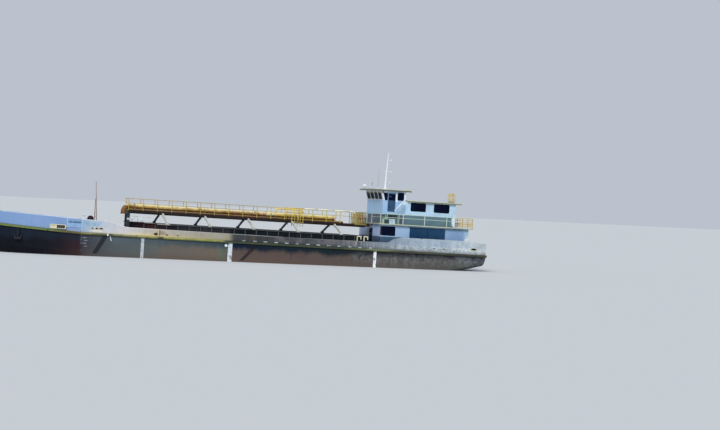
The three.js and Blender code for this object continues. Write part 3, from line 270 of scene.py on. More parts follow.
def repeated(name, paths, part, spacing, finish, look={}, closed=False):
    # paths are lists of points; part(bm) builds one copy round the origin
    pathMesh = bpy.data.meshes.new(name)
    points, edges = [], []
    for path in paths:
        first = len(points)
        points += [tuple(Vector(p) * toModel) for p in path]
        edges += [(first + i, first + i + 1) for i in range(len(path) - 1)]
        if closed:
            edges.append((first + len(path) - 1, first))
    pathMesh.from_pydata(points, edges, [])
    piece = put(name, pathMesh)
    partObject = put(name + "Part", meshFrom(name + "Part", part, look))
    modifier = piece.modifiers.new("repeat", "NODES")
    modifier.node_group = repeatTree
    values = {"Spacing": spacing * toModel, "Part": partObject, "Size Variation": 0.0, "Seed": 7,
              "Finish": paints[finish]}
    for label, value in values.items():
        modifier[repeatInputs[label]] = value
    graph = bpy.context.evaluated_depsgraph_get()
    made = bpy.data.meshes.new_from_object(piece.evaluated_get(graph))
    piece.modifiers.remove(modifier)
    piece.data = made
    bpy.data.meshes.remove(pathMesh)
    made.name = name
    bpy.data.objects.remove(partObject)
    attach(piece, "vessel")


# Materials


def tone(red, green, blue):
    # a colour as an eye reads it, 0 to 255, made linear
    shares = [value / 255 for value in (red, green, blue)]
    return (*(s / 12.92 if s <= 0.04045 else ((s + 0.055) / 1.055) ** 2.4 for s in shares), 1.0)


class Finish:
    # one material's nodes, on Object coordinates
    def __init__(self, name):
        self.material = bpy.data.materials.new(name)
        self.material.use_nodes = True
        tree = self.material.node_tree
        tree.nodes.clear()
        self.nodes, self.links = tree.nodes, tree.links
        self.shader = self.nodes.new("ShaderNodeBsdfPrincipled")
        output = self.nodes.new("ShaderNodeOutputMaterial")
        self.links.new(self.shader.outputs[0], output.inputs[0])
        coordinates = self.nodes.new("ShaderNodeTexCoord")
        self.place = coordinates.outputs["Object"]
        split = self.nodes.new("ShaderNodeSeparateXYZ")
        self.links.new(self.place, split.inputs[0])
        self.x, self.y, self.z = split.outputs
        facing = self.nodes.new("ShaderNodeSeparateXYZ")
        self.links.new(coordinates.outputs["Normal"], facing.inputs[0])
        self.faceUp = facing.outputs[2]

    def feed(self, socket, value):
        if isinstance(value, bpy.types.NodeSocket):
            self.links.new(value, socket)
        else:
            socket.default_value = value

    def give(self, label, value):
        self.feed(self.shader.inputs[label], value)

    def math(self, operation, first, second=0.0):
        node = self.nodes.new("ShaderNodeMath")
        node.operation = operation
        for socket, value in zip(node.inputs, (first, second)):
            self.feed(socket, value)
        return node.outputs[0]

    def times(self, first, second):
        return self.math("MULTIPLY", first, second)

    def plus(self, first, second):
        return self.math("ADD", first, second)

    def minus(self, first, second):
        return self.math("SUBTRACT", first, second)

    def mix(self, share, first, second):
        node = self.nodes.new("ShaderNodeMix")
        node.data_type = "RGBA"
        for number, value in ((0, share), (6, first), (7, second)):
            self.feed(node.inputs[number], value)
        return node.outputs[2]

    def ramp(self, value, low, high):
        node = self.nodes.new("ShaderNodeMapRange")
        for label, given in (("Value", value), ("From Min", low), ("From Max", high)):
            self.feed(node.inputs[label], given)
        return node.outputs["Result"]

    def noise(self, scale, detail=4.0, rough=0.55, stretch=(1, 1, 1), shift=(0, 0, 0)):
        mapping = self.nodes.new("ShaderNodeMapping")
        node = self.nodes.new("ShaderNodeTexNoise")
        for socket, value in (
                (mapping.inputs["Vector"], self.place), (mapping.inputs["Scale"], stretch),
                (mapping.inputs["Location"], shift), (node.inputs["Vector"], mapping.outputs[0]),
                (node.inputs["Scale"], scale), (node.inputs["Detail"], detail),
                (node.inputs["Roughness"], rough)):
            self.feed(socket, value)
        return node.outputs["Fac"]

    def within(self, coordinate, low, high, soft=0.003):
        # 1 between two full-size places, falling to 0 over a soft edge
        middle, reach = (low + high) / 2 * toModel, (high - low) / 2 * toModel
        offset = self.math("ABSOLUTE", self.minus(coordinate, middle))
        return self.ramp(self.minus(reach, offset), 0.0, soft * toModel)

    def region(self, where):
        # an area of paint; slant leans it aft by that much for each metre up
        soft = where.get("soft", 0.003)
        masks = []
        if "blotch" in where:
            masks.append(self.blotch(*where["blotch"], where.get("ragged", 0.5)))
        if "x" in where:
            x = self.minus(self.x, self.times(self.z, where["slant"])) if "slant" in where else self.x
            masks.append(self.within(x, *where["x"], soft))
        if "every" in where:
            pitch, long = where["every"]
            start = where["x"][0] * toModel
            along = self.math("FLOORED_MODULO", self.minus(self.x, start), pitch * toModel)
            masks.append(self.math("LESS_THAN", along, long * toModel))
        if "side" in where:
            masks.append(self.within(self.math("ABSOLUTE", self.y), *where["side"]))
        if "y" in where:
            masks.append(self.within(self.y, *where["y"], soft))
        if "z" in where:
            masks.append(self.within(self.z, *where["z"], soft))
        if where.get("top"):
            masks.append(self.math("GREATER_THAN", self.faceUp, 0.6))
        if where.get("worn"):
            masks.append(self.ramp(self.noise(9, 8, 0.7), 0.36, 0.5))
        if where.get("patchy"):
            masks.append(self.ramp(self.noise(where["patchy"], 5, 0.6), 0.42, 0.6))
        mask = masks[0]
        for other in masks[1:]:
            mask = self.times(mask, other)
        return self.times(mask, where.get("share", 1.0))

    def blotch(self, x, z, wide, high, ragged):
        # a round patch with a ragged edge, by its middle and its size: stains, and patches of painted
        # sunlight
        across = self.math("DIVIDE", self.minus(self.x, x * toModel), wide / 2 * toModel)
        upward = self.math("DIVIDE", self.minus(self.z, z * toModel), high / 2 * toModel)
        reach = self.math("SQRT", self.plus(self.times(across, across), self.times(upward, upward)))
        edge = self.plus(reach, self.times(self.minus(self.noise(7, 5, 0.6), 0.5), ragged * 2))
        return self.ramp(edge, 1.0, 0.7)

    def along(self, stops):
        # colour that changes along the vessel: rows are x and the colour
        first, last = stops[0][0], stops[-1][0]
        node = self.nodes.new("ShaderNodeValToRGB")
        self.feed(node.inputs[0], self.ramp(self.x, first * toModel, last * toModel))
        elements = node.color_ramp.elements
        elements[0].color = tone(*stops[0][1:])
        elements[1].color = tone(*stops[-1][1:])
        for place, *colour in stops[1:-1]:
            elements.new((place - first) / (last - first)).color = tone(*colour)
        return node.outputs[0]

    def colour(self, value):
        # one colour, or rows of x and a colour along the vessel
        return self.along(value) if isinstance(value[0], tuple) else tone(*value)

    def cover(self, paint, areas):
        for row in areas:
            paint = self.mix(self.region(row), paint, tone(*row["colour"]))
        return paint

    def streaks(self, scale, shift=0.0, low=0.46, high=0.68):
        # runs down a plate, in groups and of several widths
        narrow = self.noise(scale, 4, 0.6, (1, 1, 0.045), (shift, 2, 1))
        groups = self.ramp(self.noise(0.7, 3, 0.5, (1, 1, 0.4), (shift + 4, 1, 3)), 0.34, 0.62)
        return self.times(self.ramp(narrow, low, high), groups)


usualLook = dict(
    fade=0.5, fadeScale=1.3, runScale=11, rustScale=2.2, rough=0.5, rustColour=(104, 62, 40), grain=0.25,
    rustDark=(62, 40, 32), metal=0.0, shine=0.35, dents=0.0, regions=(), bands=(), streaks=(), marks=(),
    bumpStrength=0.35, bumpDepth=0.006, seamHalf=0.006, seamDepth=0.9)


def coat(colour, faded, runColour, runs, rust, **more):
    # paint, faded paint and the colour of its runs; then how much it runs and rusts
    return dict(usualLook, colour=colour, faded=faded, runColour=runColour, runs=runs, rust=rust, **more)


def area(colour, **where):
    return dict(colour=colour, **where)


def paintedSteel(name, look):
    f = Finish(name)
    paint = f.cover(f.colour(look["colour"]), look["regions"])
    fading = f.ramp(f.noise(look["fadeScale"], 6, 0.62), 0.4, 0.72)
    paint = f.mix(f.times(fading, look["fade"]), paint, f.colour(look["faded"]))
    for band in look["bands"]:
        wave = f.minus(f.noise(band.get("scale", 3), 6, 0.6, (1, 1, 0.3)), 0.5)
        edge = f.plus(f.z, f.times(wave, band["ragged"] * toModel))
        share = f.ramp(edge, band["gone"] * toModel, band["full"] * toModel)
        paint = f.mix(f.times(share, band["share"]), paint, f.colour(band["colour"]))
    runs = f.times(f.streaks(look["runScale"]), look["runs"])
    paint = f.mix(runs, paint, f.colour(look["runColour"]))
    for number, streak in enumerate(look["streaks"]):
        mask = f.times(f.streaks(streak["scale"], 11 + 7 * number), f.region(streak))
        paint = f.mix(mask, paint, tone(*streak["colour"]))
    threshold = 0.72 - 0.24 * look["rust"]
    patch = f.noise(look["rustScale"], 10, 0.66, shift=(3.1, 1.7, 0.4))
    drip = f.noise(look["rustScale"] * 2.4, 6, 0.6, (1, 1, 0.09), (5, 2, 1))
    drip = f.times(f.ramp(drip, threshold + 0.02, threshold + 0.12), 0.75)
    rust = f.math("MAXIMUM", f.ramp(patch, threshold, threshold + 0.05), drip)
    rust = f.times(rust, min(1.0, look["rust"] * 3))
    grain = f.ramp(f.noise(14, 6, 0.7), 0.35, 0.65)
    paint = f.mix(rust, paint, f.mix(grain, tone(*look["rustDark"]), tone(*look["rustColour"])))
    f.give("Base Color", f.cover(paint, look["marks"]))
    speckle = f.noise(45, 4, 0.6)
    f.give("Roughness", f.plus(f.times(rust, 0.3), f.plus(f.times(speckle, 0.2), look["rough"] - 0.1)))
    f.give("Metallic", look["metal"])
    f.give("Specular IOR Level", look["shine"])
    height = f.plus(f.times(speckle, look["grain"]), f.times(rust, 0.5))
    height = f.plus(height, f.times(f.noise(0.9, 3, 0.5), look["dents"] * 8))
    for coordinate, pitch in zip((f.x, f.z), look.get("seams", ())):
        wave = f.math("PINGPONG", coordinate, pitch * toModel / 2)
        height = f.plus(height, f.times(f.ramp(wave, look["seamHalf"], 0.0), look["seamDepth"]))
    bump = f.nodes.new("ShaderNodeBump")
    f.feed(bump.inputs["Strength"], look["bumpStrength"])
    f.feed(bump.inputs["Distance"], look["bumpDepth"])
    f.feed(bump.inputs["Height"], height)
    f.give("Normal", bump.outputs[0])
    return f.material


# stripes at the bow, amidships and the stern: where each starts and ends, and its colour
draftStripes = (
    (-2.99, -2.57, (206, 214, 220)), (-11.27, -10.97, (186, 190, 194)), (11.27, 11.56, (232, 238, 240)))
shell, house, cabin = (4.5, 5.2), (3.85, 4.1), (2.9, 3.0)  # how far out each of these walls stands

finishes = {
    "hull": coat(
        [(-26, 16, 24, 42), (-19, 18, 26, 40), (-16.95, 30, 34, 48), (-16.8, 52, 56, 66),
         (-14.3, 68, 76, 84), (-13.8, 80, 92, 98), (-10, 68, 82, 88), (-3.2, 50, 66, 76), (-2.6, 8, 24, 50),
         (1, 10, 28, 42), (8, 20, 34, 40), (12, 40, 44, 44), (18, 58, 60, 58), (20.5, 72, 78, 82),
         (22.7, 78, 84, 90)],
        [(-26, 28, 38, 56), (-19, 26, 44, 52), (-17, 40, 42, 54), (-16.8, 84, 88, 98), (-14, 88, 100, 106),
         (-10, 92, 100, 102), (-2.6, 60, 72, 82), (-2.4, 14, 34, 52), (10, 32, 46, 52), (22.7, 96, 100, 104)],
        [(-26, 34, 38, 48), (-17, 44, 42, 50), (-16.8, 100, 100, 104), (-3, 98, 98, 98), (-2, 40, 50, 58),
         (8, 48, 56, 60), (12, 92, 92, 90), (22.7, 104, 102, 98)],
        0.2, 0.2, fade=0.35, fadeScale=0.9, runScale=16, rough=0.6, dents=0.25, seams=(6, 1.35), shine=0.12,
        bands=[
            # the first band, low on the side, is partly mud and partly painted reflection of the brown water
            area([(-26, 3, 8, 16), (-20, 12, 13, 22), (-19, 22, 17, 25), (-16.9, 50, 31, 35),
                  (-16.7, 58, 56, 64), (-14, 78, 84, 88), (-10.5, 84, 92, 92), (-9, 98, 92, 84),
                  (-4, 104, 94, 84), (-3.6, 92, 102, 90), (-2.6, 92, 78, 72), (4, 94, 78, 72),
                  (10, 88, 80, 76), (13, 88, 86, 82), (20, 80, 80, 78), (22.7, 52, 56, 60)],
                 full=0.95, gone=1.4, share=0.95, ragged=1.1, scale=1.6),
            area([(-26, 4, 9, 18), (-20.5, 9, 11, 19), (-19.6, 30, 21, 26), (-17, 60, 42, 38),
                  (-16, 84, 76, 72), (-10, 98, 82, 70), (22.7, 94, 76, 66)],
                 full=0, gone=0.5, share=0.5, ragged=0.3)],
        regions=[
            area((96, 96, 98), top=True, z=(1.8, 2.6)),
            area((112, 88, 66), side=(0, 3.68), x=(-11.42, 10.67), z=(-0.4, 1.9))],
        streaks=[
            area((150, 146, 142), x=(9, 22), z=(0.1, 1.75), soft=1, share=0.55, scale=9),
            area((44, 44, 50), x=(12, 22), z=(0.1, 1.75), soft=1, share=0.5, scale=11),
            area((128, 110, 90), x=(-10.5, -3.5), z=(0, 1.7), soft=0.8, share=0.5, scale=6),
            area((22, 34, 46), x=(-2.5, 12), z=(0.3, 1.8), soft=0.6, share=0.6, scale=8)],
        marks=[
            area((26, 26, 38), x=(7, 22.5), z=(1.25, 1.9), soft=0.25, patchy=2, share=0.8),
            area((60, 58, 60), x=(12, 22.5), z=(0.3, 1.4), soft=0.4, patchy=4, share=0.4),
            area((132, 128, 128), x=(9, 22.5), z=(0.5, 1.6), soft=0.4, patchy=6, share=0.35),
            area((112, 120, 124), x=(19.5, 22.8), z=(0.4, 1.9), soft=0.5, patchy=7, share=0.5),
            # painted shadows: the two dark diagonal bands across the side
            area((22, 26, 36), x=(-15.85, -15.3), slant=0.56, side=shell, z=(0, 1.75), soft=0.08, share=0.8),
            area((24, 24, 30), x=(-2, -1.52), slant=0.918, side=shell, z=(0.1, 1.9), soft=0.06, share=0.75),
            area((214, 220, 224), x=(-13.72, -13.62), slant=-0.3, side=shell, z=(1.28, 1.78), soft=0.02),
            *(area((156, 160, 168),
                   blotch=(-16.55 + 0.12 * (i % 2), 1.45 - 0.26 * i, 0.5 - 0.1 * (i % 2), 0.1), ragged=0.5,
                   side=shell, share=0.5)
              for i in range(4)),
            area((130, 134, 140), x=(-16.9, -16.82), side=shell, z=(0.2, 1.8), soft=0.03, patchy=6,
                 share=0.7),
            area((220, 226, 230), blotch=(-3.18, 1.47, 0.32, 0.3), ragged=0.15, side=shell),
            *(area(colour, x=(x0, x1), side=(4.9, 5.2), z=(-1, 1.76), worn=True)
              for x0, x1, colour in draftStripes)]),
    "rubRail": coat(
        [(-26, 104, 116, 48), (-20, 96, 116, 58), (-18.6, 92, 92, 44), (-17.2, 104, 92, 42),
         (-16.6, 168, 162, 96), (-14.6, 132, 130, 72), (-13, 172, 168, 114), (-10, 192, 186, 104),
         (-4, 168, 168, 88), (-3.5, 150, 154, 100), (-3.3, 48, 58, 56), (-2.4, 36, 48, 46), (8, 42, 50, 44),
         (9.6, 112, 122, 86), (12, 140, 148, 104), (13.2, 96, 98, 70), (15, 70, 68, 54), (22.7, 64, 62, 56)],
        (150, 150, 108), (56, 54, 44), 0.35, 0.5, fade=0.2, rustScale=5,
        bands=[
            # painted shade: this band darkens the lower part of the rail, its underside
            area([(-26, 54, 68, 54), (-17, 38, 38, 32), (-15.5, 14, 16, 10), (-13, 24, 28, 16),
                  (-10, 70, 80, 30), (22.7, 36, 40, 36)],
                 full=1.78, gone=1.92, share=0.85, ragged=0.16, scale=4)],
        marks=[
            area((222, 226, 224), x=(-14.5, -14.36), z=(1.7, 2.2), share=0.9),
            area((50, 46, 42), x=(-14.3, -13.9), z=(1.7, 2.2), share=0.5, soft=0.1),
            area((46, 38, 30), blotch=(-9.45, 1.82, 0.7, 0.3), ragged=0.7, share=0.8)]),
    "bulwark": coat(
        [(-26, 112, 142, 186), (-19, 118, 148, 192), (-16.9, 126, 154, 196), (-16.6, 152, 174, 192),
         (-14.6, 184, 192, 200), (-13, 198, 194, 196), (-10, 178, 170, 156), (-6, 162, 156, 140),
         (-3, 146, 142, 122), (-2.5, 48, 54, 56), (1, 32, 38, 42), (4, 48, 54, 60), (9.7, 70, 76, 82),
         (12, 108, 118, 128), (14, 146, 162, 178), (18, 158, 176, 192), (21, 190, 202, 206),
         (22.7, 176, 184, 190)],
        [(-26, 132, 160, 200), (-17, 146, 172, 206), (-14, 196, 200, 206), (-3, 176, 170, 158),
         (-2.5, 70, 78, 84), (4, 84, 90, 98), (9, 108, 116, 124), (13, 176, 188, 198), (22.7, 206, 214, 218)],
        [(-26, 108, 128, 160), (-14, 150, 146, 142), (-2.5, 112, 104, 92), (22.7, 104, 104, 104)], 0.2, 0.16,
        fade=0.35, fadeScale=0.8, runScale=14, rustScale=3, dents=0.3,
        bands=[
            area([(-26, 124, 148, 182), (-17, 150, 160, 176), (-14, 208, 204, 188), (-12, 228, 212, 168),
                  (-10.6, 222, 200, 120), (-8, 196, 182, 128), (-3, 150, 144, 104), (-2.4, 48, 54, 56),
                  (11, 66, 72, 70), (15, 130, 142, 148), (22.7, 140, 148, 152)],
                 full=2, gone=2.3, share=0.65, ragged=0.3, scale=2)],
        streaks=[
            area((84, 88, 94), x=(9.5, 22.5), z=(1.9, 3.2), soft=0.3, share=0.45, scale=9),
            area((110, 92, 74), x=(-12, 4), z=(1.9, 2.7), soft=0.3, share=0.4, scale=9),
            area((196, 204, 210), x=(8, 16), z=(1.9, 2.9), soft=0.3, share=0.6, scale=15),
            area((104, 106, 106), x=(-2, 9), z=(1.9, 2.7), soft=0.2, share=0.35, scale=9)],
        marks=[
            area((52, 36, 28), blotch=(-9.9, 2.16, 0.5, 0.3), ragged=0.6),
            area((104, 80, 60), blotch=(-9.45, 2.3, 0.9, 0.5), ragged=0.7, share=0.5),
            *(area((84, 68, 54), blotch=(-8.86 + 1.05 * i, 2.13, 0.3 - 0.03 * i, 0.16), ragged=0.4)
              for i in range(2)),
            area((196, 182, 150), x=(-9.75, -9.62), side=shell, z=(2.2, 2.62), soft=0.03),
            area((74, 56, 44), x=(-9.62, -9.5), side=shell, z=(1.9, 2.6), soft=0.03, share=0.7),
            area((122, 132, 140), x=(10.5, 22.6), z=(2.2, 3.2), patchy=4, share=0.35),
            area((108, 104, 94), x=(12.5, 22.6), z=(1.95, 2.3), patchy=7, share=0.6),
            area((206, 210, 206), x=(13, 22.6), z=(2.1, 2.5), patchy=9, share=0.5),
            *(area((34, 36, 40), blotch=(place, 2.3, 0.24, 0.14), ragged=0.5)
              for place in (17.35, 18.3)),
            *(area((214, 220, 222), blotch=(19.9 + 0.35 * i, 2.44 - 0.05 * i, 0.3, 0.12), ragged=0.5)
              for i in range(3)),
            area((156, 146, 158), x=(-9, -3.5), side=shell, z=(2.1, 2.6), patchy=5, share=0.3),
            area((222, 216, 178), blotch=(-19.3, 2.26, 1, 0.2), ragged=0.6, share=0.9),
            area((226, 220, 196), blotch=(-15.5, 2.12, 1.5, 0.2), ragged=0.5, share=0.8),
            area((214, 224, 232), x=(-16.9, -16.82), side=shell, z=(2.1, 3.2), soft=0.03, share=0.8),
            area((104, 156, 186), x=(-16.8, -14.9), side=shell, z=(2.45, 3.05), patchy=5, share=0.6,
                 soft=0.2),
            area((212, 202, 206), x=(-16, -12.4), side=shell, z=(2.1, 2.5), patchy=4, share=0.5, soft=0.1),
            area((206, 220, 236), x=(-18.26, -18.2), side=shell, z=(2.3, 3.2), soft=0.02, share=0.8),
            # painted shadow: a dark diagonal band, the upper end of the second diagonal shadow on the hull
            area((36, 36, 42), x=(0.26, 0.62), slant=0.1, z=(2, 2.6), side=(4.85, 5.1), soft=0.08, share=0.6),
            area((122, 112, 114), x=(1, 9.5), side=shell, z=(2.1, 2.6), patchy=3, share=0.45),
            area((190, 198, 200), x=(-1.65, 11.7), every=(1.035, 0.34), side=(4.95, 5.1), z=(1.97, 2.06),
                 worn=True)]),
    "coaming": coat(
        [(-11.8, 24, 20, 26), (-10.7, 44, 26, 32), (-10.1, 64, 36, 34), (-9.6, 44, 34, 42),
         (-8.6, 30, 26, 38), (-7, 40, 40, 48), (-2.7, 42, 44, 50), (-2.4, 18, 26, 32), (11, 20, 28, 32)],
        [(-11.8, 46, 34, 40), (-9.6, 56, 42, 48), (-7, 68, 68, 72), (-2.7, 70, 72, 74), (-2.4, 38, 46, 50),
         (11, 42, 50, 52)],
        [(-11.8, 84, 60, 56), (-7, 92, 86, 80), (11, 72, 76, 74)], 0.35, 0.3, fade=0.4, rough=0.75,
        dents=0.3, shine=0.05, regions=[area((92, 96, 98), side=(3.885, 3.945), z=(1.9, 3.03))],
        marks=[
            # painted highlight: a pale line along the top edge of the rim
            area((196, 190, 182), z=(3.03, 3.13), x=(-9.7, -8.4), share=0.6),
            area((120, 122, 122), z=(3.03, 3.13), x=(-8.4, 10.9), share=0.3)]),
    "gantry": coat(
        # near-black beams: partly rust, partly painted shade under the walkway and pipe
        (34, 28, 28), (58, 46, 40), (88, 64, 46), 0.35, 0.4, rustScale=3, shine=0.15,
        marks=[
            # painted sunlight on the port rafter legs, and painted shade on the starboard legs
            area((206, 206, 198), y=(-5, -0.96)),
            area((30, 40, 54), y=(0.96, 5)),
            area((128, 112, 92), y=(-5, -0.96), patchy=5, share=0.5),
            area((112, 86, 46), side=(0, 0.78), z=(4.19, 4.5)),
            area((150, 140, 72), x=(10.3, 11.5), z=(4.15, 4.4))]),
    "toePlates": coat(
        [(-12, 84, 62, 34), (-6, 74, 46, 34), (-1.5, 104, 48, 42), (1.5, 98, 50, 44), (2.4, 92, 74, 44),
         (10.4, 128, 92, 44)],
        (120, 84, 50), (44, 28, 24), 0.5, 0.6, fade=0.5, fadeScale=4, runScale=14, rustScale=4,
        marks=[
            # painted highlight along the top edge of the toe boards, and painted shade along their foot
            area((206, 172, 118), z=(4.33, 4.42), x=(-12, 2.6), share=0.9),
            area((212, 178, 78), z=(4.33, 4.42), x=(2.6, 10.4), share=0.9),
            area((36, 26, 26), z=(4.2, 4.28), share=0.8)]),
    "pipe": coat(
        [(-11.4, 186, 148, 74), (-8, 192, 162, 94), (-5.2, 176, 138, 76), (-2, 160, 118, 68),
         (1.4, 154, 112, 72), (1.5, 238, 226, 180), (2.4, 236, 222, 170), (2.5, 198, 166, 84),
         (8.4, 192, 156, 74)],
        (218, 198, 128), (120, 80, 46), 0.45, 0.45, fade=0.4, fadeScale=3, rustScale=3, shine=0.2,
        bands=[
            # painted shade darkens the lower part of the pipe; a painted highlight runs along its top
            area((84, 52, 30), full=4.5, gone=4.62, share=0.9, ragged=0.3, scale=4),
            area((250, 236, 176), full=4.74, gone=4.66, share=0.75, ragged=0.3, scale=4)],
        marks=[area((226, 204, 120), z=(4.9, 5.5), share=0.65)]),
    "rails": coat(
        [(-20, 206, 184, 92), (-12, 188, 158, 66), (-6, 176, 148, 60), (0, 178, 154, 66), (3, 206, 184, 84),
         (9, 190, 172, 78), (10.2, 140, 122, 34), (10.9, 118, 98, 30), (11.5, 104, 84, 30),
         (11.7, 180, 150, 50), (22, 192, 154, 46)],
        (226, 216, 150), (110, 76, 42), 0.2, 0.4, fade=0.3, rustScale=7,
        marks=[area((96, 42, 30), blotch=(11.05, 4.8, 0.7, 0.8), ragged=0.6, share=0.8)]),
    "hoops": coat((206, 176, 44), (226, 204, 84), (120, 92, 40), 0.3, 0.3, rustScale=7),
    "column": coat(
        # the column's own dark teal, darkened further as painted shade under the walkway
        (34, 52, 62), (56, 72, 82), (70, 58, 50), 0.4, 0.4, rustScale=4,
        marks=[area((210, 214, 212), z=(3.3, 3.5), y=(-0.84, -0.6), share=0.8)]),
    "greyBlue": coat((132, 150, 172), (168, 180, 194), (96, 88, 84), 0.4, 0.4),
    "poles": coat((150, 128, 118), (178, 166, 158), (92, 64, 52), 0.4, 0.5, rustScale=5),
    "rustySteel": coat(
        (104, 66, 48), (132, 98, 74), (66, 46, 38), 0.4, 0.8, rustScale=5, rough=0.75, grain=0.6),
    "elbow": coat(
        (128, 88, 40), (170, 130, 66), (78, 46, 28), 0.5, 0.7, rustScale=4, rough=0.65,
        # painted highlight along the top of the elbow
        bands=[area((228, 212, 156), full=4.74, gone=4.64, share=0.8, ragged=0.2)]),
    "lowerWalls": coat(
        (152, 182, 214), (176, 198, 224), (116, 124, 134), 0.2, 0.12, fade=0.4, rustScale=4, dents=0.2,
        regions=[
            area((120, 154, 190), side=house, x=(18.62, 20.6)),
            area((146, 164, 204), x=(12, 12.12), z=(2.9, 4.4), y=(-0.15, 4)),
            area((172, 194, 232), x=(12, 12.12), z=(2.9, 4.4), y=(-4, -1.1))],
        marks=[
            area((40, 66, 94), side=house, x=(12, 14.6), z=(1.9, 3.17), share=0.92),
            area((44, 82, 118), side=house, x=(14.6, 21.1), z=(1.9, 2.55), share=0.9),
            area((36, 58, 88), x=(12, 12.12), z=(1.9, 3.17), share=0.92),
            area((72, 104, 122), x=(12, 14.6), z=(1.9, 3.1), side=house, patchy=5, share=0.5),
            area((96, 134, 134), x=(12, 14.3), z=(3.17, 3.22), share=0.6),
            area((6, 20, 32), x=(12.09, 12.3), z=(3.3, 4.18), side=(3.88, 4)),
            # painted sunlight: a white patch at the aft corner of each side
            area((226, 232, 236), x=(19.5, 21.1), z=(1.9, 4.4), side=house, blotch=(21.15, 2.95, 1.2, 1.7),
                 ragged=0.25),
            area((142, 182, 196), x=(20.4, 21.1), z=(3.5, 4.4), side=house, patchy=4, share=0.5)]),
    "upperWalls": coat(
        (180, 210, 232), (200, 222, 238), (134, 152, 164), 0.2, 0.1, fade=0.4, rustScale=4, dents=0.2,
        marks=[
            area((78, 104, 118), z=(4.4, 5.42), share=0.95),
            area((100, 128, 134), z=(4.4, 5.42), patchy=2, share=0.5),
            # painted sunlight: a white patch at the aft corner
            area((214, 228, 232), blotch=(19.95, 5.1, 0.9, 1.6), ragged=0.25),
            area((146, 176, 186), z=(5.42, 6.8), patchy=3, share=0.42)]),
    "cabinWalls": coat(
        (152, 184, 220), (178, 204, 228), (116, 132, 148), 0.2, 0.1, fade=0.4, rustScale=4, dents=0.2,
        regions=[
            area((158, 196, 232), x=(12, 12.53), z=(5.3, 6.72)),
            area((214, 224, 232), x=(12, 12.9), z=(6.72, 7.7)),
            area((222, 230, 236), side=cabin, x=(13.72, 13.95), z=(6.6, 7.5)),
            area((218, 228, 236), side=cabin, x=(14.53, 14.8), z=(6.4, 7.6))],
        marks=[
            area((76, 92, 102), z=(4.4, 5.34), side=cabin, share=0.92),
            area((62, 68, 86), z=(4.4, 5.34), x=(12, 12.52), share=0.92),
            area((44, 70, 72), z=(4.4, 5.34), x=(12.5, 13.5), side=cabin, share=0.6)]),
    "cream": coat((170, 178, 152), (200, 204, 184), (120, 118, 92), 0.3, 0.22, fade=0.4, rustScale=4),
    "roofPaint": coat(
        (212, 206, 178), (228, 222, 200), (132, 124, 104), 0.3, 0.22, rustScale=4,
        marks=[
            area((88, 100, 58), z=(6.6, 6.79), side=(3.1, 3.3), share=0.9),
            # painted shade: a dark strip along the lower edge of the wheelhouse roof's sides
            area((60, 68, 46), z=(7.6, 7.74), x=(11.76, 15.3), side=(3.1, 3.3), share=0.9),
            area((186, 188, 192), x=(11.6, 11.76), z=(7.72, 7.9)),
            # painted shade: brown under the front edge of the wheelhouse roof
            area((104, 90, 76), x=(11.6, 11.76), z=(7.5, 7.72)),
            area((146, 148, 156), x=(12, 13.3), side=(0, 0.3), z=(8, 12))]),
    "bridgeRails": coat(
        [(11.8, 176, 196, 176), (13, 196, 212, 196), (19.8, 192, 206, 186), (20, 200, 164, 62),
         (21.6, 204, 166, 58)],
        (214, 222, 204), (130, 120, 84), 0.2, 0.25, fade=0.25, rustScale=7,
        marks=[area((58, 66, 80), x=(11.9, 12.1), side=(2.4, 2.6), z=(4.4, 5.35), share=0.9)]),
    "white": coat((212, 220, 226), (232, 238, 242), (150, 146, 140), 0.25, 0.2, rustScale=6),
    "ventPaint": coat((216, 210, 180), (234, 230, 208), (140, 110, 76), 0.3, 0.4, rustScale=6),
    "steps": coat(
        (170, 196, 184), (200, 216, 208), (104, 120, 108), 0.25, 0.25, rustScale=6,
        marks=[
            area((40, 68, 68), x=(12.47, 12.98), z=(4.4, 4.87)),
            area((190, 208, 222), x=(13.02, 13.7), z=(4.4, 4.87)),
            area((112, 150, 160), x=(13.02, 13.7), z=(4.4, 4.87), patchy=6, share=0.6)]),
    "blueDoor": coat((20, 58, 92), (32, 74, 108), (20, 44, 68), 0.3, 0.12, rustScale=5, shine=0.2),
    "cabinDoor": coat((42, 74, 106), (58, 92, 124), (34, 54, 76), 0.25, 0.1, shine=0.2),
    "conduitPaint": coat((240, 234, 196), (250, 248, 222), (176, 160, 104), 0.25, 0.2, rustScale=7),
    "backPlate": coat(
        (206, 198, 164), (228, 222, 196), (96, 84, 66), 0.5, 0.4, fadeScale=5, rustScale=9,
        marks=[area((44, 40, 38), x=(-19.1, -18.2), share=0.85)]),
    "rackPaint": coat((222, 196, 96), (242, 228, 150), (132, 98, 46), 0.3, 0.3, rustScale=7),
    "darkDoor": coat((4, 24, 48), (12, 38, 66), (14, 26, 40), 0.25, 0.08, shine=0.02),
    "machine": coat((112, 116, 120), (140, 142, 144), (60, 56, 50), 0.3, 0.3, metal=0.3),
    "anchorPaint": coat(
        (28, 32, 42), (44, 48, 58), (58, 46, 42), 0.3, 0.35, rustScale=6, rustColour=(64, 44, 38),
        rustDark=(40, 30, 30), shine=0.15),
    "hood": coat((36, 18, 36), (56, 38, 58), (74, 44, 44), 0.4, 0.4, rustScale=5, shine=0.2),
    "boardPaint": coat(
        (132, 166, 204), (168, 196, 220), (104, 134, 160), 0.4, 0.15, fadeScale=4, rustScale=5,
        marks=[
            area((50, 92, 124), x=(-18.2, -16.9), z=(2.72, 2.94), patchy=5, share=0.9, soft=0.05),
            area((72, 104, 152), x=(-17.8, -17.1), z=(2.42, 2.56), patchy=9, share=0.7, soft=0.05)]),
    "black": coat((26, 28, 32), (46, 48, 52), (60, 54, 50), 0.2, 0.15, rough=0.55),
    "bronze": coat(
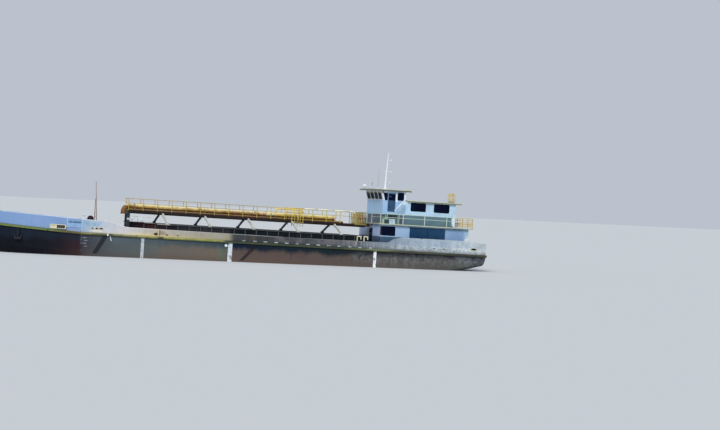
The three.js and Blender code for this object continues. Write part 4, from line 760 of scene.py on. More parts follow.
        (150, 112, 56), (178, 142, 84), (84, 96, 74), 0.2, 0.2, rustColour=(72, 110, 92),
        rustDark=(60, 70, 50), metal=0.85, rough=0.35),
    "bolts": coat((104, 92, 82), (136, 126, 114), (72, 56, 44), 0.2, 0.6, rustScale=14, metal=0.4),
    "ribs": coat((92, 74, 62), (120, 98, 80), (60, 44, 38), 0.4, 0.8, rustScale=5, rough=0.75),
    "tan": coat((120, 100, 78), (158, 138, 112), (84, 68, 52), 0.4, 0),
    "wood": coat((96, 60, 34), (130, 88, 54), (60, 36, 22), 0.3, 0, rough=0.35),
    "vinyl": coat((30, 32, 36), (52, 54, 58), (62, 58, 54), 0.15, 0, rough=0.5, grain=0.5),
    "capRail": coat(
        [(-26, 150, 178, 210), (-19, 190, 206, 226), (-12.5, 226, 230, 232), (-10, 190, 180, 160),
         (-6, 150, 144, 128), (-2.6, 140, 136, 122), (-2.4, 150, 150, 142), (1.8, 156, 154, 144),
         (2.4, 84, 86, 82), (8, 92, 96, 90), (11, 120, 128, 126), (14, 150, 162, 172), (20, 186, 194, 200),
         (22.7, 160, 164, 168)],
        (206, 212, 216), (96, 84, 76), 0.3, 0.35, fade=0.3, rustScale=6),
    "stays": coat((128, 132, 142), (160, 164, 170), (96, 84, 76), 0.4, 0.5, rustScale=6),
}
paints = {name: paintedSteel(name, look) for name, look in finishes.items()}


def makeGlass(name, shine):
    f = Finish(name)
    smear = f.ramp(f.noise(3, 5, 0.6, (1, 1, 0.3)), 0.4, 0.7)
    f.give("Base Color", f.mix(smear, tone(0, 6, 30), tone(2, 16, 44)))
    f.give("Roughness", f.plus(f.times(smear, 0.12), 0.05))
    f.give("Specular IOR Level", shine)
    f.give("Alpha", 0.96)
    return f.material


def makeRubber(name):
    f = Finish(name)
    grain = f.noise(60, 4, 0.6)
    f.give("Base Color", f.mix(grain, tone(3, 8, 16), tone(14, 20, 28)))
    f.give("Roughness", f.plus(f.times(grain, 0.2), 0.6))
    f.give("Specular IOR Level", 0.06)
    return f.material


def makeLens(name, deep, bright):
    f = Finish(name)
    ribs = f.math("SINE", f.times(f.z, 900))
    f.give("Base Color", f.mix(f.ramp(ribs, -1, 1), tone(*deep), tone(*bright)))
    f.give("Roughness", f.plus(f.times(f.noise(30), 0.1), 0.08))
    f.give("Coat Weight", 0.6)
    return f.material


paints["glass"] = makeGlass("windowGlass", 0.08)
paints["rubber"] = makeRubber("gasketRubber")
paints["leaningGlass"] = makeGlass("leaningGlass", 0.01)
paints["clearLens"] = makeLens("clearLens", (168, 176, 180), (228, 234, 238))
paints["redLens"] = makeLens("redLens", (120, 14, 12), (196, 40, 30))
paints["greenLens"] = makeLens("greenLens", (12, 84, 44), (36, 150, 84))
print("materials:", len(paints))

# the finish of each node of the solid; a star stands for port and starboard
nodePaints = {
    "hull": "hull", "coaming": "hold_coaming", "bulwark": "bulwark_bow bulwark_stern bulwark_*",
    "rubRail": "rub_rail_*", "gantry": "gantry_frame", "column": "gantry_column", "pipe": "loading_pipe",
    "elbow": "pipe_elbow", "rails": "gantry_end_rail gantry_rail_*", "poles": "fore_mast",
    "rustySteel": "windlass_frame windlass_drum", "anchorPaint": "anchor_*", "ventPaint": "tank_vents_*",
    "lowerWalls": "lower_wall_front lower_wall_aft lower_wall_*",
    "darkDoor": "front_door aft_door upper_door",
    "blueDoor": "engine_door_fore_* engine_door_aft_*", "machine": "engines wheelhouse_floor",
    "cream": "bridge_deck", "bridgeRails": "bridge_rails", "upperWalls": "upper_house_walls",
    "roofPaint": "upper_roof wheelhouse_roof", "hoops": "roof_hoops", "white": "mast searchlight",
    "cabinWalls": "wheelhouse_front wheelhouse_back wheelhouse_side_*", "cabinDoor": "wheelhouse_door_*",
    "steps": "wheelhouse_steps_*", "bronze": "propeller_*",
    "black": "helm_console helm_wheel helm_chair rudder_*"}
for finish, names in nodePaints.items():
    for name in names.split():
        for _, sideName in sides if "*" in name else sides[:1]:
            for materialSlot in nodes[name.replace("*", sideName)].material_slots:
                materialSlot.material = paints[finish]


# Windows: a rounded pane in a dark frame that laps the edge of its hole

windowLook = dict(lap=0.035, cover=0.03, corner=0.09, proud=0.022, gap=0.002, paneThick=0.012, paneBack=0.02)
flushLook = dict(windowLook, proud=0.006)  # a sliding door passes 11 mm off this wall


def windowFrames(bm, rows, look):
    lap, cover, corner, proud, gap = sizes(look, "lap cover corner proud gap")
    for hole, origin, facing in rows:
        hollowSlab(bm, boxAround(hole, lap, corner + lap), boxAround(hole, -cover, corner), proud,
                   Vector(origin) + Vector(facing[2]) * gap, *facing)


def windowPanes(bm, rows, look):
    for hole, origin, facing in rows:
        slab(bm, boxAround(hole, -look["cover"] / 2, look["corner"]), look["paneThick"],
             Vector(origin) - Vector(facing[2]) * look["paneBack"], *facing)


def windowRow(spans, low, high, origin, facing):
    return [((a0, a1, low, high), origin, facing) for a0, a1 in spans]


lean = Vector((-0.25, 0, 0.9)).normalized()
leanOut = Vector((-0.9, 0, -0.25)).normalized()
windowSets = {
    "wheelhouseFront": windowRow([(-2.75, -1.5), (-1.32, -0.1), (0.1, 1.32), (1.5, 2.75)], 0.055, 0.805,
                                 (12.5, 0, 6.72), ((0, 1, 0), lean, leanOut)),
    "wheelhouseBack": windowRow([(-2.3, -1.0), (1.0, 2.3)], 6.95, 7.45, (14.75, 0, 0), athwart(1)),
    "lowerAft": windowRow([(-2.9, -1.7), (1.7, 2.9)], 3.2, 3.95, (21.04, 0, 0), athwart(1))}
for side, sideName in sides:
    for name, spans, low, high, wall in (
            ("upperHouse", [(15.33, 16.81), (17.7, 19.22)], 5.83, 6.6, 2.95),
            ("lowerHouse", [(12.28, 13.58)], 3.32, 4.16, 3.9),
            ("wheelhouseRear", [(13.94, 14.53)], 6.79, 7.48, 2.95)):
        windowSets[f"{name}_{sideName}"] = windowRow(spans, low, high, (0, side * wall, 0), alongside(side))

for name, rows in windowSets.items():
    look = dict(rows=rows, look=flushLook if name.startswith("lowerHouse") else windowLook)
    leaning = name == "wheelhouseFront"
    newPiece(f"{name}_frames", windowFrames, "white" if leaning else "rubber", look)
    newPiece(f"{name}_glass", windowPanes, "leaningGlass" if leaning else "glass", look)


def grown(outline, by):
    # a convex outline moved outward by a distance
    count = len(outline)
    twice = sum(outline[i][0] * outline[(i + 1) % count][1] - outline[(i + 1) % count][0] * outline[i][1]
                for i in range(count))
    turnWay = 1 if twice > 0 else -1  # twice the area, negative for a clockwise outline
    result = []
    for i in range(count):
        before, here, after = (Vector(outline[k % count]) for k in (i - 1, i, i + 1))
        first, second = (here - before).normalized(), (after - here).normalized()
        normals = [Vector((d.y, -d.x)) * turnWay for d in (first, second)]
        push = (normals[0] + normals[1]) / (1 + normals[0].dot(normals[1]))
        result.append(tuple(here + push * by))
    return result


quarterHole = [(12.68, 6.74), (12.88, 6.74), (12.88, 7.4), (12.5, 7.4)]
quarterFrame = dict(wall=2.952, inset=0.03, out=0.02)
quarterPane = dict(wall=2.93, inset=0.012, thick=0.012)


def quarterFrames(bm, side, wall, inset, out):
    outer, inner = grown(quarterHole, inset), grown(quarterHole, -inset)
    hollowSlab(bm, outer, inner, out, (0, side * wall, 0), *alongside(side))


def quarterPanes(bm, side, wall, inset, thick):
    slab(bm, grown(quarterHole, -inset), thick, (0, side * wall, 0), *alongside(side))


onBothSides("quarter_*_frames", quarterFrames, "rubber", quarterFrame)
onBothSides("quarter_*_glass", quarterPanes, "glass", quarterPane)
print("windows made")


# Deck edge: cap rails, stays inside the bulwark, fairleads and blank nameboards

deck = 1.95
deckEdge = [
    (-25.95, 0.55), (-25.6, 1.4), (-24.8, 2.6), (-23.5, 3.65), (-21.6, 4.48), (-19.3, 4.9), (-17.0, 5.0)]
capLook = dict(radius=0.042, middle=4.94, plating=5, stem=-25.9, bowTop=3.12, bowRise=0.045)


def bezier(a, b, c, d, steps=7):
    points = []
    for i in range(steps + 1):
        t = i / steps
        weights = ((1 - t) ** 3, 3 * t * (1 - t) ** 2, 3 * t * t * (1 - t), t ** 3)
        points.append(tuple(sum(w * p[k] for w, p in zip(weights, (a, b, c, d))) for k in range(2)))
    return points


sideTop = [
    (-16.97, 3.12), *bezier((-14.8, 3.07), (-13.6, 3.05), (-13.4, 2.6), (-12.3, 2.6)), (3.7, 2.54),
    *bezier((12.9, 2.6), (13.7, 2.6), (13.5, 3.15), (14.2, 3.15)), (20.5, 3.18), (22.56, 2.95)]


def capRails(bm, radius, middle, plating, stem, bowTop, bowRise):
    shoulder, inset = deckEdge[-1][0], plating - middle
    bow = [(x + inset * (x < stem), y - inset, bowTop + (shoulder - x) * bowRise) for x, y in deckEdge[:-1]]
    half = bow + [(x, middle, z) for x, z in sideTop]
    port = [(x, -y, z) for x, y, z in reversed(half)]
    tube(bm, port + half + [port[0]], radius)


newPiece("bulwark_cap_rails", capRails, "capRail", capLook, smooth=True)

stayLook = dict(reach=0.3, high=0.46, toe=0.08, head=0.07, thick=0.024)
stayRun = dict(bow=-16.4, aft=22.2, plate=4.9, pitch=1.55)


def stay(bm, side, reach, high, toe, head, thick):
    outline = [(0, 0), (reach, 0), (reach * 0.9, toe), (head, high), (0, high)]
    slab(bm, outline, thick, (0, 0, 0), *rib(-side))


for side, sideName in sides:
    run = [(stayRun[end], side * stayRun["plate"], deck) for end in ("bow", "aft")]
    repeated(f"bulwark_stays_{sideName}", [run], stay, stayRun["pitch"], "stays", dict(stayLook, side=side))


def bowPlace(x, z, side, sunk=0.02):
    # a point on the outer face of the bulwark at the bow, and the way the plate lies there
    for (x0, y0), (x1, y1) in zip(deckEdge, deckEdge[1:]):
        if x0 <= x <= x1:
            along = Vector((x1 - x0, side * (y1 - y0), 0)).normalized()
            outward = Vector((-along.y, along.x, 0)) * side
            share = (x - x0) / (x1 - x0)
            point = Vector((x, side * (y0 + share * (y1 - y0) - sunk), z))
            return point, along, (0, 0, 1), outward


# the plate that fills the step up of the bulwark beside the house lies within the bulwark's own thickness
stepLook = dict(inner=4.92, thick=0.05, outline=[
    (12.3, 2.5), (14.2, 2.5), (14.2, 3.13), (13.6, 3.11), (13.3, 3.04), (13.0, 2.88), (12.75, 2.7),
    (12.3, 2.6)])


def stepPlate(bm, side, inner, thick, outline):
    slab(bm, outline, thick, (0, side * inner, 0), *alongside(side))


onBothSides("bulwark_step_plate_*", stepPlate, "bulwark", stepLook)

fairleadLook = dict(x=-19.8, z=2.14, long=1.5, high=0.4, deep=0.09, rollers=4, roller=0.055, backThick=0.012)
boardLook = dict(x=-18.2, z=2.34, long=1.29, high=0.66, thick=0.03, rim=0.03, raised=0.012)


def fairleadFrame(bm, side, x, z, long, high, deep, **_):
    hollowSlab(bm, roundedBox(0, long, 0, high, 0.12), roundedBox(0.07, long - 0.07, 0.06, high - 0.06, 0.08),
               deep, *bowPlace(x, z, side))


def fairleadBack(bm, side, x, z, long, high, backThick, **_):
    slab(bm, boxAround((0, long, 0, high), -0.03, 0.1), backThick, *bowPlace(x, z, side))


def fairleadRollers(bm, side, x, z, long, high, deep, rollers, roller, **_):
    foot, along, _, outward = bowPlace(x, z, side)
    for i in range(rollers):
        place = foot + along * (long * (0.48 + 0.125 * i)) + outward * deep * 0.55
        turned(bm, [(roller * 1.25, 0.05), (roller, 0.1), (roller * 0.9, high / 2), (roller, high - 0.1),
                    (roller * 1.25, high - 0.05)], place, around=16)


def nameboard(bm, side, x, z, long, high, thick, rim, raised):
    box, place = (0, long, 0, high), bowPlace(x, z, side)
    slab(bm, roundedBox(*box, 0.05), thick, *place)
    hollowSlab(bm, roundedBox(*box, 0.05), boxAround(box, -rim, 0.03), thick + raised, *place)


onBothSides("fairlead_frame_*", fairleadFrame, "ventPaint", fairleadLook, soften=0.01)
onBothSides("fairlead_back_*", fairleadBack, "backPlate", fairleadLook)
onBothSides("fairlead_rollers_*", fairleadRollers, "black", fairleadLook, smooth=True)
onBothSides("blank_nameboard_*", nameboard, "boardPaint", boardLook)
print("deck edge made")


# Foredeck: hatch, mushroom vents and bow chocks

hatchLook = dict(x=-20.6, long=0.9, wide=0.9, high=0.34, lid=0.05, lap=0.04, wheel=0.16, sheer=0.056)
ventLook = dict(places=[(-16.47, -3.0, 1.95, 1.66), (-17.6, 2.6, 1.98, 1.0)], pipe=0.06, head=0.12)


def foreHatch(bm, x, long, wide, high, lid, lap, wheel, sheer):
    base = deck + (-17 - x) * sheer - 0.06
    box = (x - long / 2, x + long / 2, -wide / 2, wide / 2)
    slab(bm, roundedBox(*box, 0.1), high, (0, 0, base), *flat)
    slab(bm, boxAround(box, lap, 0.13), lid, (0, 0, base + high), *flat)
    top = base + high + lid
    hub = (x, 0, top + 0.09)
    bar(bm, (x, 0, top - 0.01), (x, 0, top + 0.1), 0.02)
    hoop(bm, hub, wheel, (0, 0, 1), 20, 0.014, 6)
    for i in range(4):
        angle = math.radians(45 + 90 * i)
        bar(bm, hub, (x + wheel * math.cos(angle), wheel * math.sin(angle), hub[2]), 0.01, 6)
    hinge, level = x + long / 2 + lap, top - 0.02
    for y in (-0.25, 0.25):
        bar(bm, (hinge, y - 0.07, level), (hinge, y + 0.07, level), 0.022)


def mushroomVents(bm, places, pipe, head):
    for x, y, base, high in places:
        top = base + high
        turned(bm, [(pipe * 1.7, base), (pipe * 1.7, base + 0.03), (pipe, base + 0.05), (pipe, top - 0.14)],
               (x, y, 0))
        turned(bm, [(head * 0.9, top - 0.16), (head, top - 0.12), (head * 0.86, top - 0.05),
                    (head * 0.5, top - 0.01), (0.02, top)], (x, y, 0))


newPiece("foredeck_hatch", foreHatch, "greyBlue", hatchLook, soften=0.008)
newPiece("mushroom_vents", mushroomVents, "white", ventLook, smooth=True)

# each chock's x, length, height and level
chocks = [
    (-15.87, 0.24, 0.17, 2.37), (-15.47, 0.3, 0.19, 2.37), (-15.06, 0.38, 0.2, 2.37),
    (21.35, 0.62, 0.24, 2.45)]
chockRim = dict(y=4.99, radius=0.022)
chockRoller = dict(y=4.84, pitch=0.11, neck=0.012, plate=0.02)


def chockRims(bm, side, y, radius):
    for x, long, high, z in chocks:
        angles = [math.tau * i / 20 for i in range(20)]
        ring = [(x + long / 2 * math.cos(a), side * y, z + high / 2 * math.sin(a)) for a in angles]
        tube(bm, ring + [ring[0]], radius)


def chockRollers(bm, side, y, pitch, neck, plate):
    for x, long, high, z in chocks:
        count, end = max(2, round(long / pitch)), high / 2
        wide, waist = long / count * 0.46, long / count * 0.42
        for i in range(count):
            profile = [
                (neck, -end - 0.05), (wide, -end - 0.03), (waist, 0), (wide, end + 0.03), (neck, end + 0.05)]
            turned(bm, profile, (x - long / 2 + long * (i + 0.5) / count, side * y, z), around=12)
        for dz in (-end - 0.06, end + 0.06):
            slab(bm, roundedBox(-long / 2 - 0.06, long / 2 + 0.06, -0.05, 0.05, 0.02), plate,
                 (x, side * y, z + dz - 0.01), *flat)


onBothSides("chock_rims_*", chockRims, "ventPaint", chockRim, smooth=True)
onBothSides("chock_rollers_*", chockRollers, "black", chockRoller, smooth=True)


# Windlass: a guard over its gear, and a hand brake beside it

guardLook = dict(x=-15.56, foot=2.925, wide=0.27, top=3.46, inner=-0.725, outer=-1.02, rim=0.022)
brakeLook = dict(place=(-15.2, -0.94, 2.86), foot=2.04, post=0.028, wheel=0.19, rim=0.02, spoke=0.013)


def gearGuard(bm, x, foot, wide, top, inner, outer, rim):
    rise = top - wide - foot
    arch = [(wide * math.cos(math.pi * i / 14), rise + wide * math.sin(math.pi * i / 14)) for i in range(15)]
    outline = [(wide, 0.0), *arch, (-wide, 0.0)]
    slab(bm, outline, inner - outer, (x, outer, foot), *alongside(1))
    for y in (outer, inner):
        tube(bm, [(x + u, y, foot + v + 0.01) for u, v in outline], rim)
    turned(bm, [(0.11, 0.0), (0.11, -0.02), (0.07, -0.035), (0.01, -0.04)], (x, outer, foot + rise),
           (0, 1, 0), 18)


def handBrake(bm, place, foot, post, wheel, rim, spoke):
    x, y, z = place
    bar(bm, (x, y, foot), place, post, 10)
    hub = (x, y - 0.03, z)
    for tip in hoop(bm, hub, wheel, (0, 1, 0), 20, rim, 8)[::5]:
        bar(bm, hub, tip, spoke, 6)
    turned(bm, [(0.05, -0.06), (0.05, 0.02), (0.03, 0.04)], place, (0, 1, 0), 14)


newPiece("windlass_gear_guard", gearGuard, "hood", guardLook, smooth=True)
newPiece("windlass_hand_brake", handBrake, "rustySteel", brakeLook, smooth=True)
print("foredeck made")


# Gantry: walkway slats, pipe straps, flange bolts, and the small steel on its walkway, rails and rafters

slatLook = dict(thick=0.012, half=0.76, low=-0.01, rise=0.018)
slatRun = dict(bow=-11.9, aft=11.3, top=4.2, pitch=0.12)


def slat(bm, thick, half, low, rise):
    block(bm, -thick, thick, -half, half, low, rise)


run = [(slatRun[end], 0, slatRun["top"]) for end in ("bow", "aft")]
repeated("walkway_slats", [run], slat, slatRun["pitch"], "gantry", slatLook)

pipeLook = dict(y=-0.42, z=4.6)
strapLook = dict(outer=0.256, wide=0.09, ear=0.03, bolt=0.016,
                 places=[-10.8, -8.7, -6.6, -4.6, -2.4, -0.35, 3.2, 4.0, 6.1, 7.95])
flangeLook = dict(places=[-11.334, -5.115, 1.535, 2.335, 8.265], ring=0.29, bolts=10)
boltLook = dict(grip=0.075, radius=0.022)


def pipeStraps(bm, y, z, outer, wide, ear, bolt, places):
    half, flank, lip = wide / 2, wide / 2 * 0.8, outer - 0.006
    for x in places:
        profile = [(lip, x - half), (outer, x - flank), (outer, x + flank), (lip, x + half)]
        turned(bm, profile, (0, y, z), (1, 0, 0), 24)
        for side in (-1, 1):
            edge = y + side * (outer + ear)
            block(bm, x - flank, x + flank, edge - 0.04, edge + 0.04, z - 0.06, z)
            bar(bm, (x, edge, z - 0.09), (x, edge, z + 0.03), bolt, 6)


def flangeBolt(bm, grip, radius):
    bar(bm, (-grip, 0, 0), (grip, 0, 0), radius, 6)
    bar(bm, (-grip + 0.02, 0, 0), (grip - 0.02, 0, 0), radius * 1.5, 12)


newPiece("pipe_straps", pipeStraps, "pipe", dict(strapLook, **pipeLook))
ring, bolts = flangeLook["ring"], flangeLook["bolts"]
rings = [circle((x, pipeLook["y"], pipeLook["z"]), ring, (1, 0, 0), bolts * 2) for x in flangeLook["places"]]
ringLength = bolts * 2 * 2 * ring * math.sin(math.pi / (bolts * 2))
repeated("flange_bolts", rings, flangeBolt, ringLength / bolts * 1.001, "bolts", boltLook, closed=True)

toeLook = dict(bow=-11.9, aft=10.25, y=0.795, thick=0.012, foot=4.215, top=4.38, lip=0.05, pitch=1.11,
               split=0.03)


def toeBoards(bm, bow, aft, y, thick, foot, top, lip, pitch, split):
    profile = [(0, foot), (thick, foot), (thick, top), (lip, top), (lip, top + 0.012), (0, top + 0.012)]
    for side in (-1, 1):
        for i in range(int((aft - bow) / pitch)):
            slab(bm, profile, pitch - split, (bow + pitch * i, side * y, 0), *rib(side))


newPiece("toe_boards", toeBoards, "toePlates", toeLook)

angleLook = dict(bow=-11.8, aft=11.4, y=0.84, foot=3.93, top=4.018, thick=0.014, flange=0.09)


def edgeAngles(bm, bow, aft, y, foot, top, thick, flange):
    inner = foot + thick
    profile = [(0, foot), (-flange, foot), (-flange, inner), (-thick, inner), (-thick, top), (0, top)]
    for side in (-1, 1):
        slab(bm, profile, aft - bow, (bow, side * y, 0), *rib(side))


newPiece("walkway_edge_angles", edgeAngles, "gantry", angleLook)

rackLook = dict(bow=3.4, aft=5.08, low=3.95, pitch=0.28, y=-0.97, top=5.42, walkway=4.3, foot=3.62,
                radius=0.028, rungs=(5.4, 5.0, 4.05), clamps=(4.3, 5.3))


def boardingRack(bm, bow, aft, low, pitch, y, top, walkway, foot, radius, rungs, clamps):
    for i in range(round((aft - bow) / pitch) + 1):
        x = bow + pitch * i
        bar(bm, (x, y, foot if x >= low else walkway), (x, y, top), radius, 8)
    for z in rungs:
        bar(bm, ((bow if z > walkway else low) - 0.08, y, z), (aft + 0.08, y, z), radius * 0.85, 8)
    for x in (low, aft):
        for z in clamps:
            slab(bm, roundedBox(-0.05, 0.05, -0.04, 0.04, 0.015), 0.17, (x, y, z), *alongside(1))


newPiece("boarding_rack", boardingRack, "rackPaint", rackLook, smooth=True)

meshLook = dict(bow=10.42, aft=11.36, foot=4.3, top=5.28, y=0.83, pitch=0.13, radius=0.011, shortest=0.05)
conduitLook = dict(y=-0.93, radius=0.06, clips=(5.6, 6.7, 7.8, 8.9, 9.9), clipZ=5.385, path=[
    (5.15, 5.38), (6.5, 5.4), (8.2, 5.38), (9.7, 5.4), (10.15, 5.36), (10.3, 5.2)])
columnLampLook = dict(x=-11.58, y=-0.84, z=3.42, radius=0.09, column=-11.84)


def gateMesh(bm, bow, aft, foot, top, y, pitch, radius, shortest):
    # wires that lean both ways, cut off at the frame
    high = top - foot
    for side in (-1, 1):
        for way in (-1, 1):
            start = bow - high if way > 0 else bow
            for i in range(int((aft - bow + high) / pitch)):
                x = start + pitch * (i + 0.5)
                low = max(0.0, bow - x if way > 0 else x - aft)
                up = min(high, aft - x if way > 0 else x - bow)
                if up - low > shortest:
                    ends = [(x + way * z, side * y, foot + z) for z in (low, up)]
                    bar(bm, *ends, radius, 5)


def railConduit(bm, y, radius, clips, clipZ, path):
    tube(bm, [(x, y, z) for x, z in path], radius)
    for x in clips:
        hoop(bm, (x, y, clipZ), radius + 0.008, (1, 0, 0), 14, 0.012, 6)


def columnLamp(bm, x, y, z, radius, column):
    bar(bm, (column, y, z + 0.1), (x, y, z + 0.1), 0.018, 8)
    shade = [(radius * 0.5, 0.12), (radius, 0.08), (radius * 1.1, 0.0), (radius, -0.09),
             (radius * 0.6, -0.13), (0.01, -0.14)]
    turned(bm, shade, (x, y, z), around=18)


newPiece("gate_mesh", gateMesh, "hoops", meshLook, smooth=True)
newPiece("rail_conduit", railConduit, "conduitPaint", conduitLook, smooth=True)
newPiece("column_lamp", columnLamp, "white", columnLampLook, smooth=True)

coamingRailLook = dict(posts=(-11.17, -10.32), y=3.81, foot=3.12, top=3.66, radius=0.03, bend=0.05)


def coamingRail(bm, side, posts, y, foot, top, radius, bend):
    (first, last), y = posts, side * y
    tube(bm, [(first, y, foot), (first, y, top - bend), (first + bend, y, top), (last - bend, y, top),
              (last, y, top - bend), (last, y, foot)], radius)
    bar(bm, (first, y, foot + 0.12), (first + 0.25, y, foot + 0.12), 0.022, 8)
    slab(bm, roundedBox(-0.09, 0.09, 0, 0.34, 0.04), 0.02, (first, y, top - 0.42), *alongside(side))


onBothSides("coaming_hand_rail_*", coamingRail, "white", coamingRailLook, smooth=True)

rafterLook = dict(places=[-8.7, -4.6, -0.35, 4.0, 8.25], foot=3.83, boltFoot=3.18, boltTop=3.26, bolt=0.026,
                  gusset=[(0, 0), (0.42, -0.12), (0, -0.34)], gussetY=0.9, gussetZ=4.06, thick=0.02)


def rafterFittings(bm, places, foot, boltFoot, boltTop, bolt, gusset, gussetY, gussetZ, thick):
    for x in places:
        for side in (-1, 1):
            for dx, dy in ((-0.11, -0.1), (-0.11, 0.12), (0.11, -0.1), (0.11, 0.12)):
                place = Vector((x + dx, side * (foot + dy - 0.02), 0))
                bar(bm, place + Vector((0, 0, boltFoot)), place + Vector((0, 0, boltTop)), bolt, 6)
            slab(bm, gusset, thick, (x - thick / 2, side * gussetY, gussetZ), *rib(side))


newPiece("rafter_gussets", rafterFittings, "gantry", rafterLook)
print("gantry dressed")


# Hold: frames on its walls and a ladder

holdLook = dict(bow=-11.1, aft=10.5, half=3.65, floor=-0.35, pitch=1.08)
holdFrameLook = dict(high=2.28, deep=0.11, flange=0.07, web=0.012, thick=0.02, bracket=0.34)
holdLadderLook = dict(x=9.6, y=-3.46, half=0.2, top=3.05, rail=0.022, rung=0.016, pitch=0.3)


def holdFrame(bm, side, high, deep, flange, web, thick, bracket):
    block(bm, -web, web, 0, -side * deep, 0, high)
    block(bm, -flange / 2, flange / 2, -side * deep, -side * (deep - thick), 0, high)
    slab(bm, [(0, 0), (bracket, 0), (0, bracket)], thick, (-0.01, -side * deep, 0), *rib(-side))


for side, sideName in sides:
    line = [(holdLook[end], side * holdLook["half"], holdLook["floor"]) for end in ("bow", "aft")]
    repeated(f"hold_frames_{sideName}", [line], holdFrame, holdLook["pitch"], "ribs",
             dict(holdFrameLook, side=side))


def holdLadder(bm, x, y, half, top, rail, rung, pitch):
    floor = holdLook["floor"]
    for dx in (-half, half):
        bar(bm, (x + dx, y, floor + 0.02), (x + dx, y, top), rail, 8)
    for i in range(int((3.0 - floor) / pitch)):
        z = floor + pitch * (i + 1)
        bar(bm, (x - half, y, z), (x + half, y, z), rung, 8)


newPiece("hold_ladder", holdLadder, "rails", holdLadderLook)
print("hold dressed")


# Doors: dark panes, handles, battens and hangers, each on its own leaf

leafLook = dict(face=3.971, sunk=0.004, edge=0.03, proud=0.012, batten=0.06, levels=(2.1, 2.78, 3.5, 4.14),
                top=4.2)
hangerLook = dict(face=3.971, sunk=0.004, inset=0.35, half=0.06, foot=3.92, top=4.22, wheel=0.055,
                  bolts=(3.97, 4.05))


def leafBattens(bm, side, x0, x1, face, sunk, edge, proud, batten, levels, top):
    depth = (side * (face - sunk), side * (face + proud))
    for z in levels:
        block(bm, x0 + edge, x1 - edge, *depth, z, z + batten)
    for x in (x0 + edge, x1 - edge - batten):
        block(bm, x, x + batten, *depth, levels[0], top)


def leafHangers(bm, side, x0, x1, face, sunk, inset, half, foot, top, wheel, bolts):
    for x in (x0 + inset, x1 - inset):
        block(bm, x - half, x + half, side * (face - sunk), side * (face + 0.014), foot, top)
        bar(bm, (x, side * (face - 0.01), 4.17), (x, side * (face + 0.03), 4.17), wheel, 16)
        for z in bolts:
            bar(bm, (x, side * face, z), (x, side * (face + 0.024), z), 0.014, 6)


for side, sideName in sides:
    for end, x0, x1 in (("fore", 15.06, 16.84), ("aft", 16.86, 18.64)):
        leaf = f"engine_door_{end}_{sideName}"
        place = dict(side=side, x0=x0, x1=x1)
        newPiece(f"{leaf}_battens", leafBattens, "blueDoor", dict(leafLook, **place), leaf)
        newPiece(f"{leaf}_hangers", leafHangers, "blueDoor", dict(hangerLook, **place), leaf)


def leverHandle(bm, foot, outward, along):
    foot, outward, along = Vector(foot), Vector(outward), Vector(along)
    bar(bm, foot - outward * 0.01, foot + outward * 0.012, 0.035, 16)
    bar(bm, foot, foot + outward * 0.055, 0.011, 10)
    grip = [foot + outward * out + along * reach for out, reach in ((0.05, 0), (0.055, 0.05), (0.05, 0.14))]
    tube(bm, grip, 0.011)


def dressDoor(leaf, outline, origin, facing, handle, along, inset, rim, proud, paneThick=0.006):
    newPiece(f"{leaf}_pane", lambda bm: slab(bm, grown(outline, -inset), paneThick, origin, *facing), "glass",
             body=leaf)
    newPiece(f"{leaf}_rim", lambda bm: hollowSlab(bm, outline, grown(outline, -rim), proud, origin, *facing),
             "rubber", body=leaf)
    newPiece(f"{leaf}_handle", lambda bm: leverHandle(bm, handle, facing[2], along), "bolts", body=leaf)


def portHole(z, radius):
    angles = [math.radians(a) for a in range(0, 360, 15)]
    return [(radius * math.cos(a), z + radius * math.sin(a)) for a in angles]


endDoorLook = dict(along=(0, 1, 0), inset=0.02, rim=0.03, proud=0.016)
endDoors = [
    # leaf, face, way out, middle, handle, outline of the pane
    ("front_door", 12.1, -1, -0.625, (-1.0, 2.95), portHole(3.45, 0.17)),
    ("aft_door", 21.04, 1, 0.0, (-0.34, 3.0), portHole(3.55, 0.17)),
    ("upper_door", 19.9, 1, 0.0, (-0.31, 5.4), roundedBox(-0.285, 0.285, 5.62, 6.25, 0.06))]
for leaf, face, out, middle, handle, outline in endDoors:
    dressDoor(leaf, outline, (face, middle, 0), athwart(out), (face, *handle), **endDoorLook)

cabinLook = dict(along=(-1, 0, 0), inset=0.015, rim=0.022, proud=0.012)
cabinPane, cabinFace = roundedBox(13.04, 13.67, 6.72, 7.33, 0.05), 2.95
for side, sideName in sides:
    leaf, y = f"wheelhouse_door_{sideName}", side * cabinFace
    dressDoor(leaf, cabinPane, (0, y, 0), alongside(side), (13.62, y, 6.4), **cabinLook)
print("doors dressed")


# Upper works: roof hatch, ladder, handrails, lamps, horn and searchlight

roofHatchLook = dict(box=(19.34, 19.81, -2.68, -2.22), foot=6.86, high=0.1, lid=0.03, lap=0.02,
                     hinge=0.018)
ladderLook = dict(x=21.56, y0=2.0, y1=2.45, foot=1.97, top=5.42, rail=0.026, deckTop=4.4)
rungLook = dict(pitch=0.3, radius=0.016)
handrailLook = dict(y=3.66, low=(13.56, 5.79), high=(14.42, 6.77), radius=0.075)


def roofHatch(bm, box, foot, high, lid, lap, hinge):
    slab(bm, roundedBox(*box, 0.05), high, (0, 0, foot), *flat)
    slab(bm, boxAround(box, lap, 0.06), lid, (0, 0, foot + high), *flat)
    x, top = box[0] + 0.1, foot + high + lid
    bar(bm, (x, box[2] + 0.08, top), (x, box[3] - 0.08, top), hinge)


newPiece("roof_hatch", roofHatch, "greyBlue", roofHatchLook, soften=0.006)


def aftLadder(bm, x, y0, y1, foot, top, rail, deckTop):
    for y in (y0, y1):
        tube(bm, [(x, y, foot), (x, y, top - 0.1), (x - 0.2, y, top)], rail)
        bar(bm, (x, y, deckTop), (x - 0.12, y, deckTop), rail * 0.8)
        turned(bm, [(0.07, foot - 0.02), (0.07, foot + 0.01)], (x, y, 0), around=12)


def aftRung(bm, wide, radius):
    bar(bm, (0, 0, 0), (0, wide, 0), radius, 8)


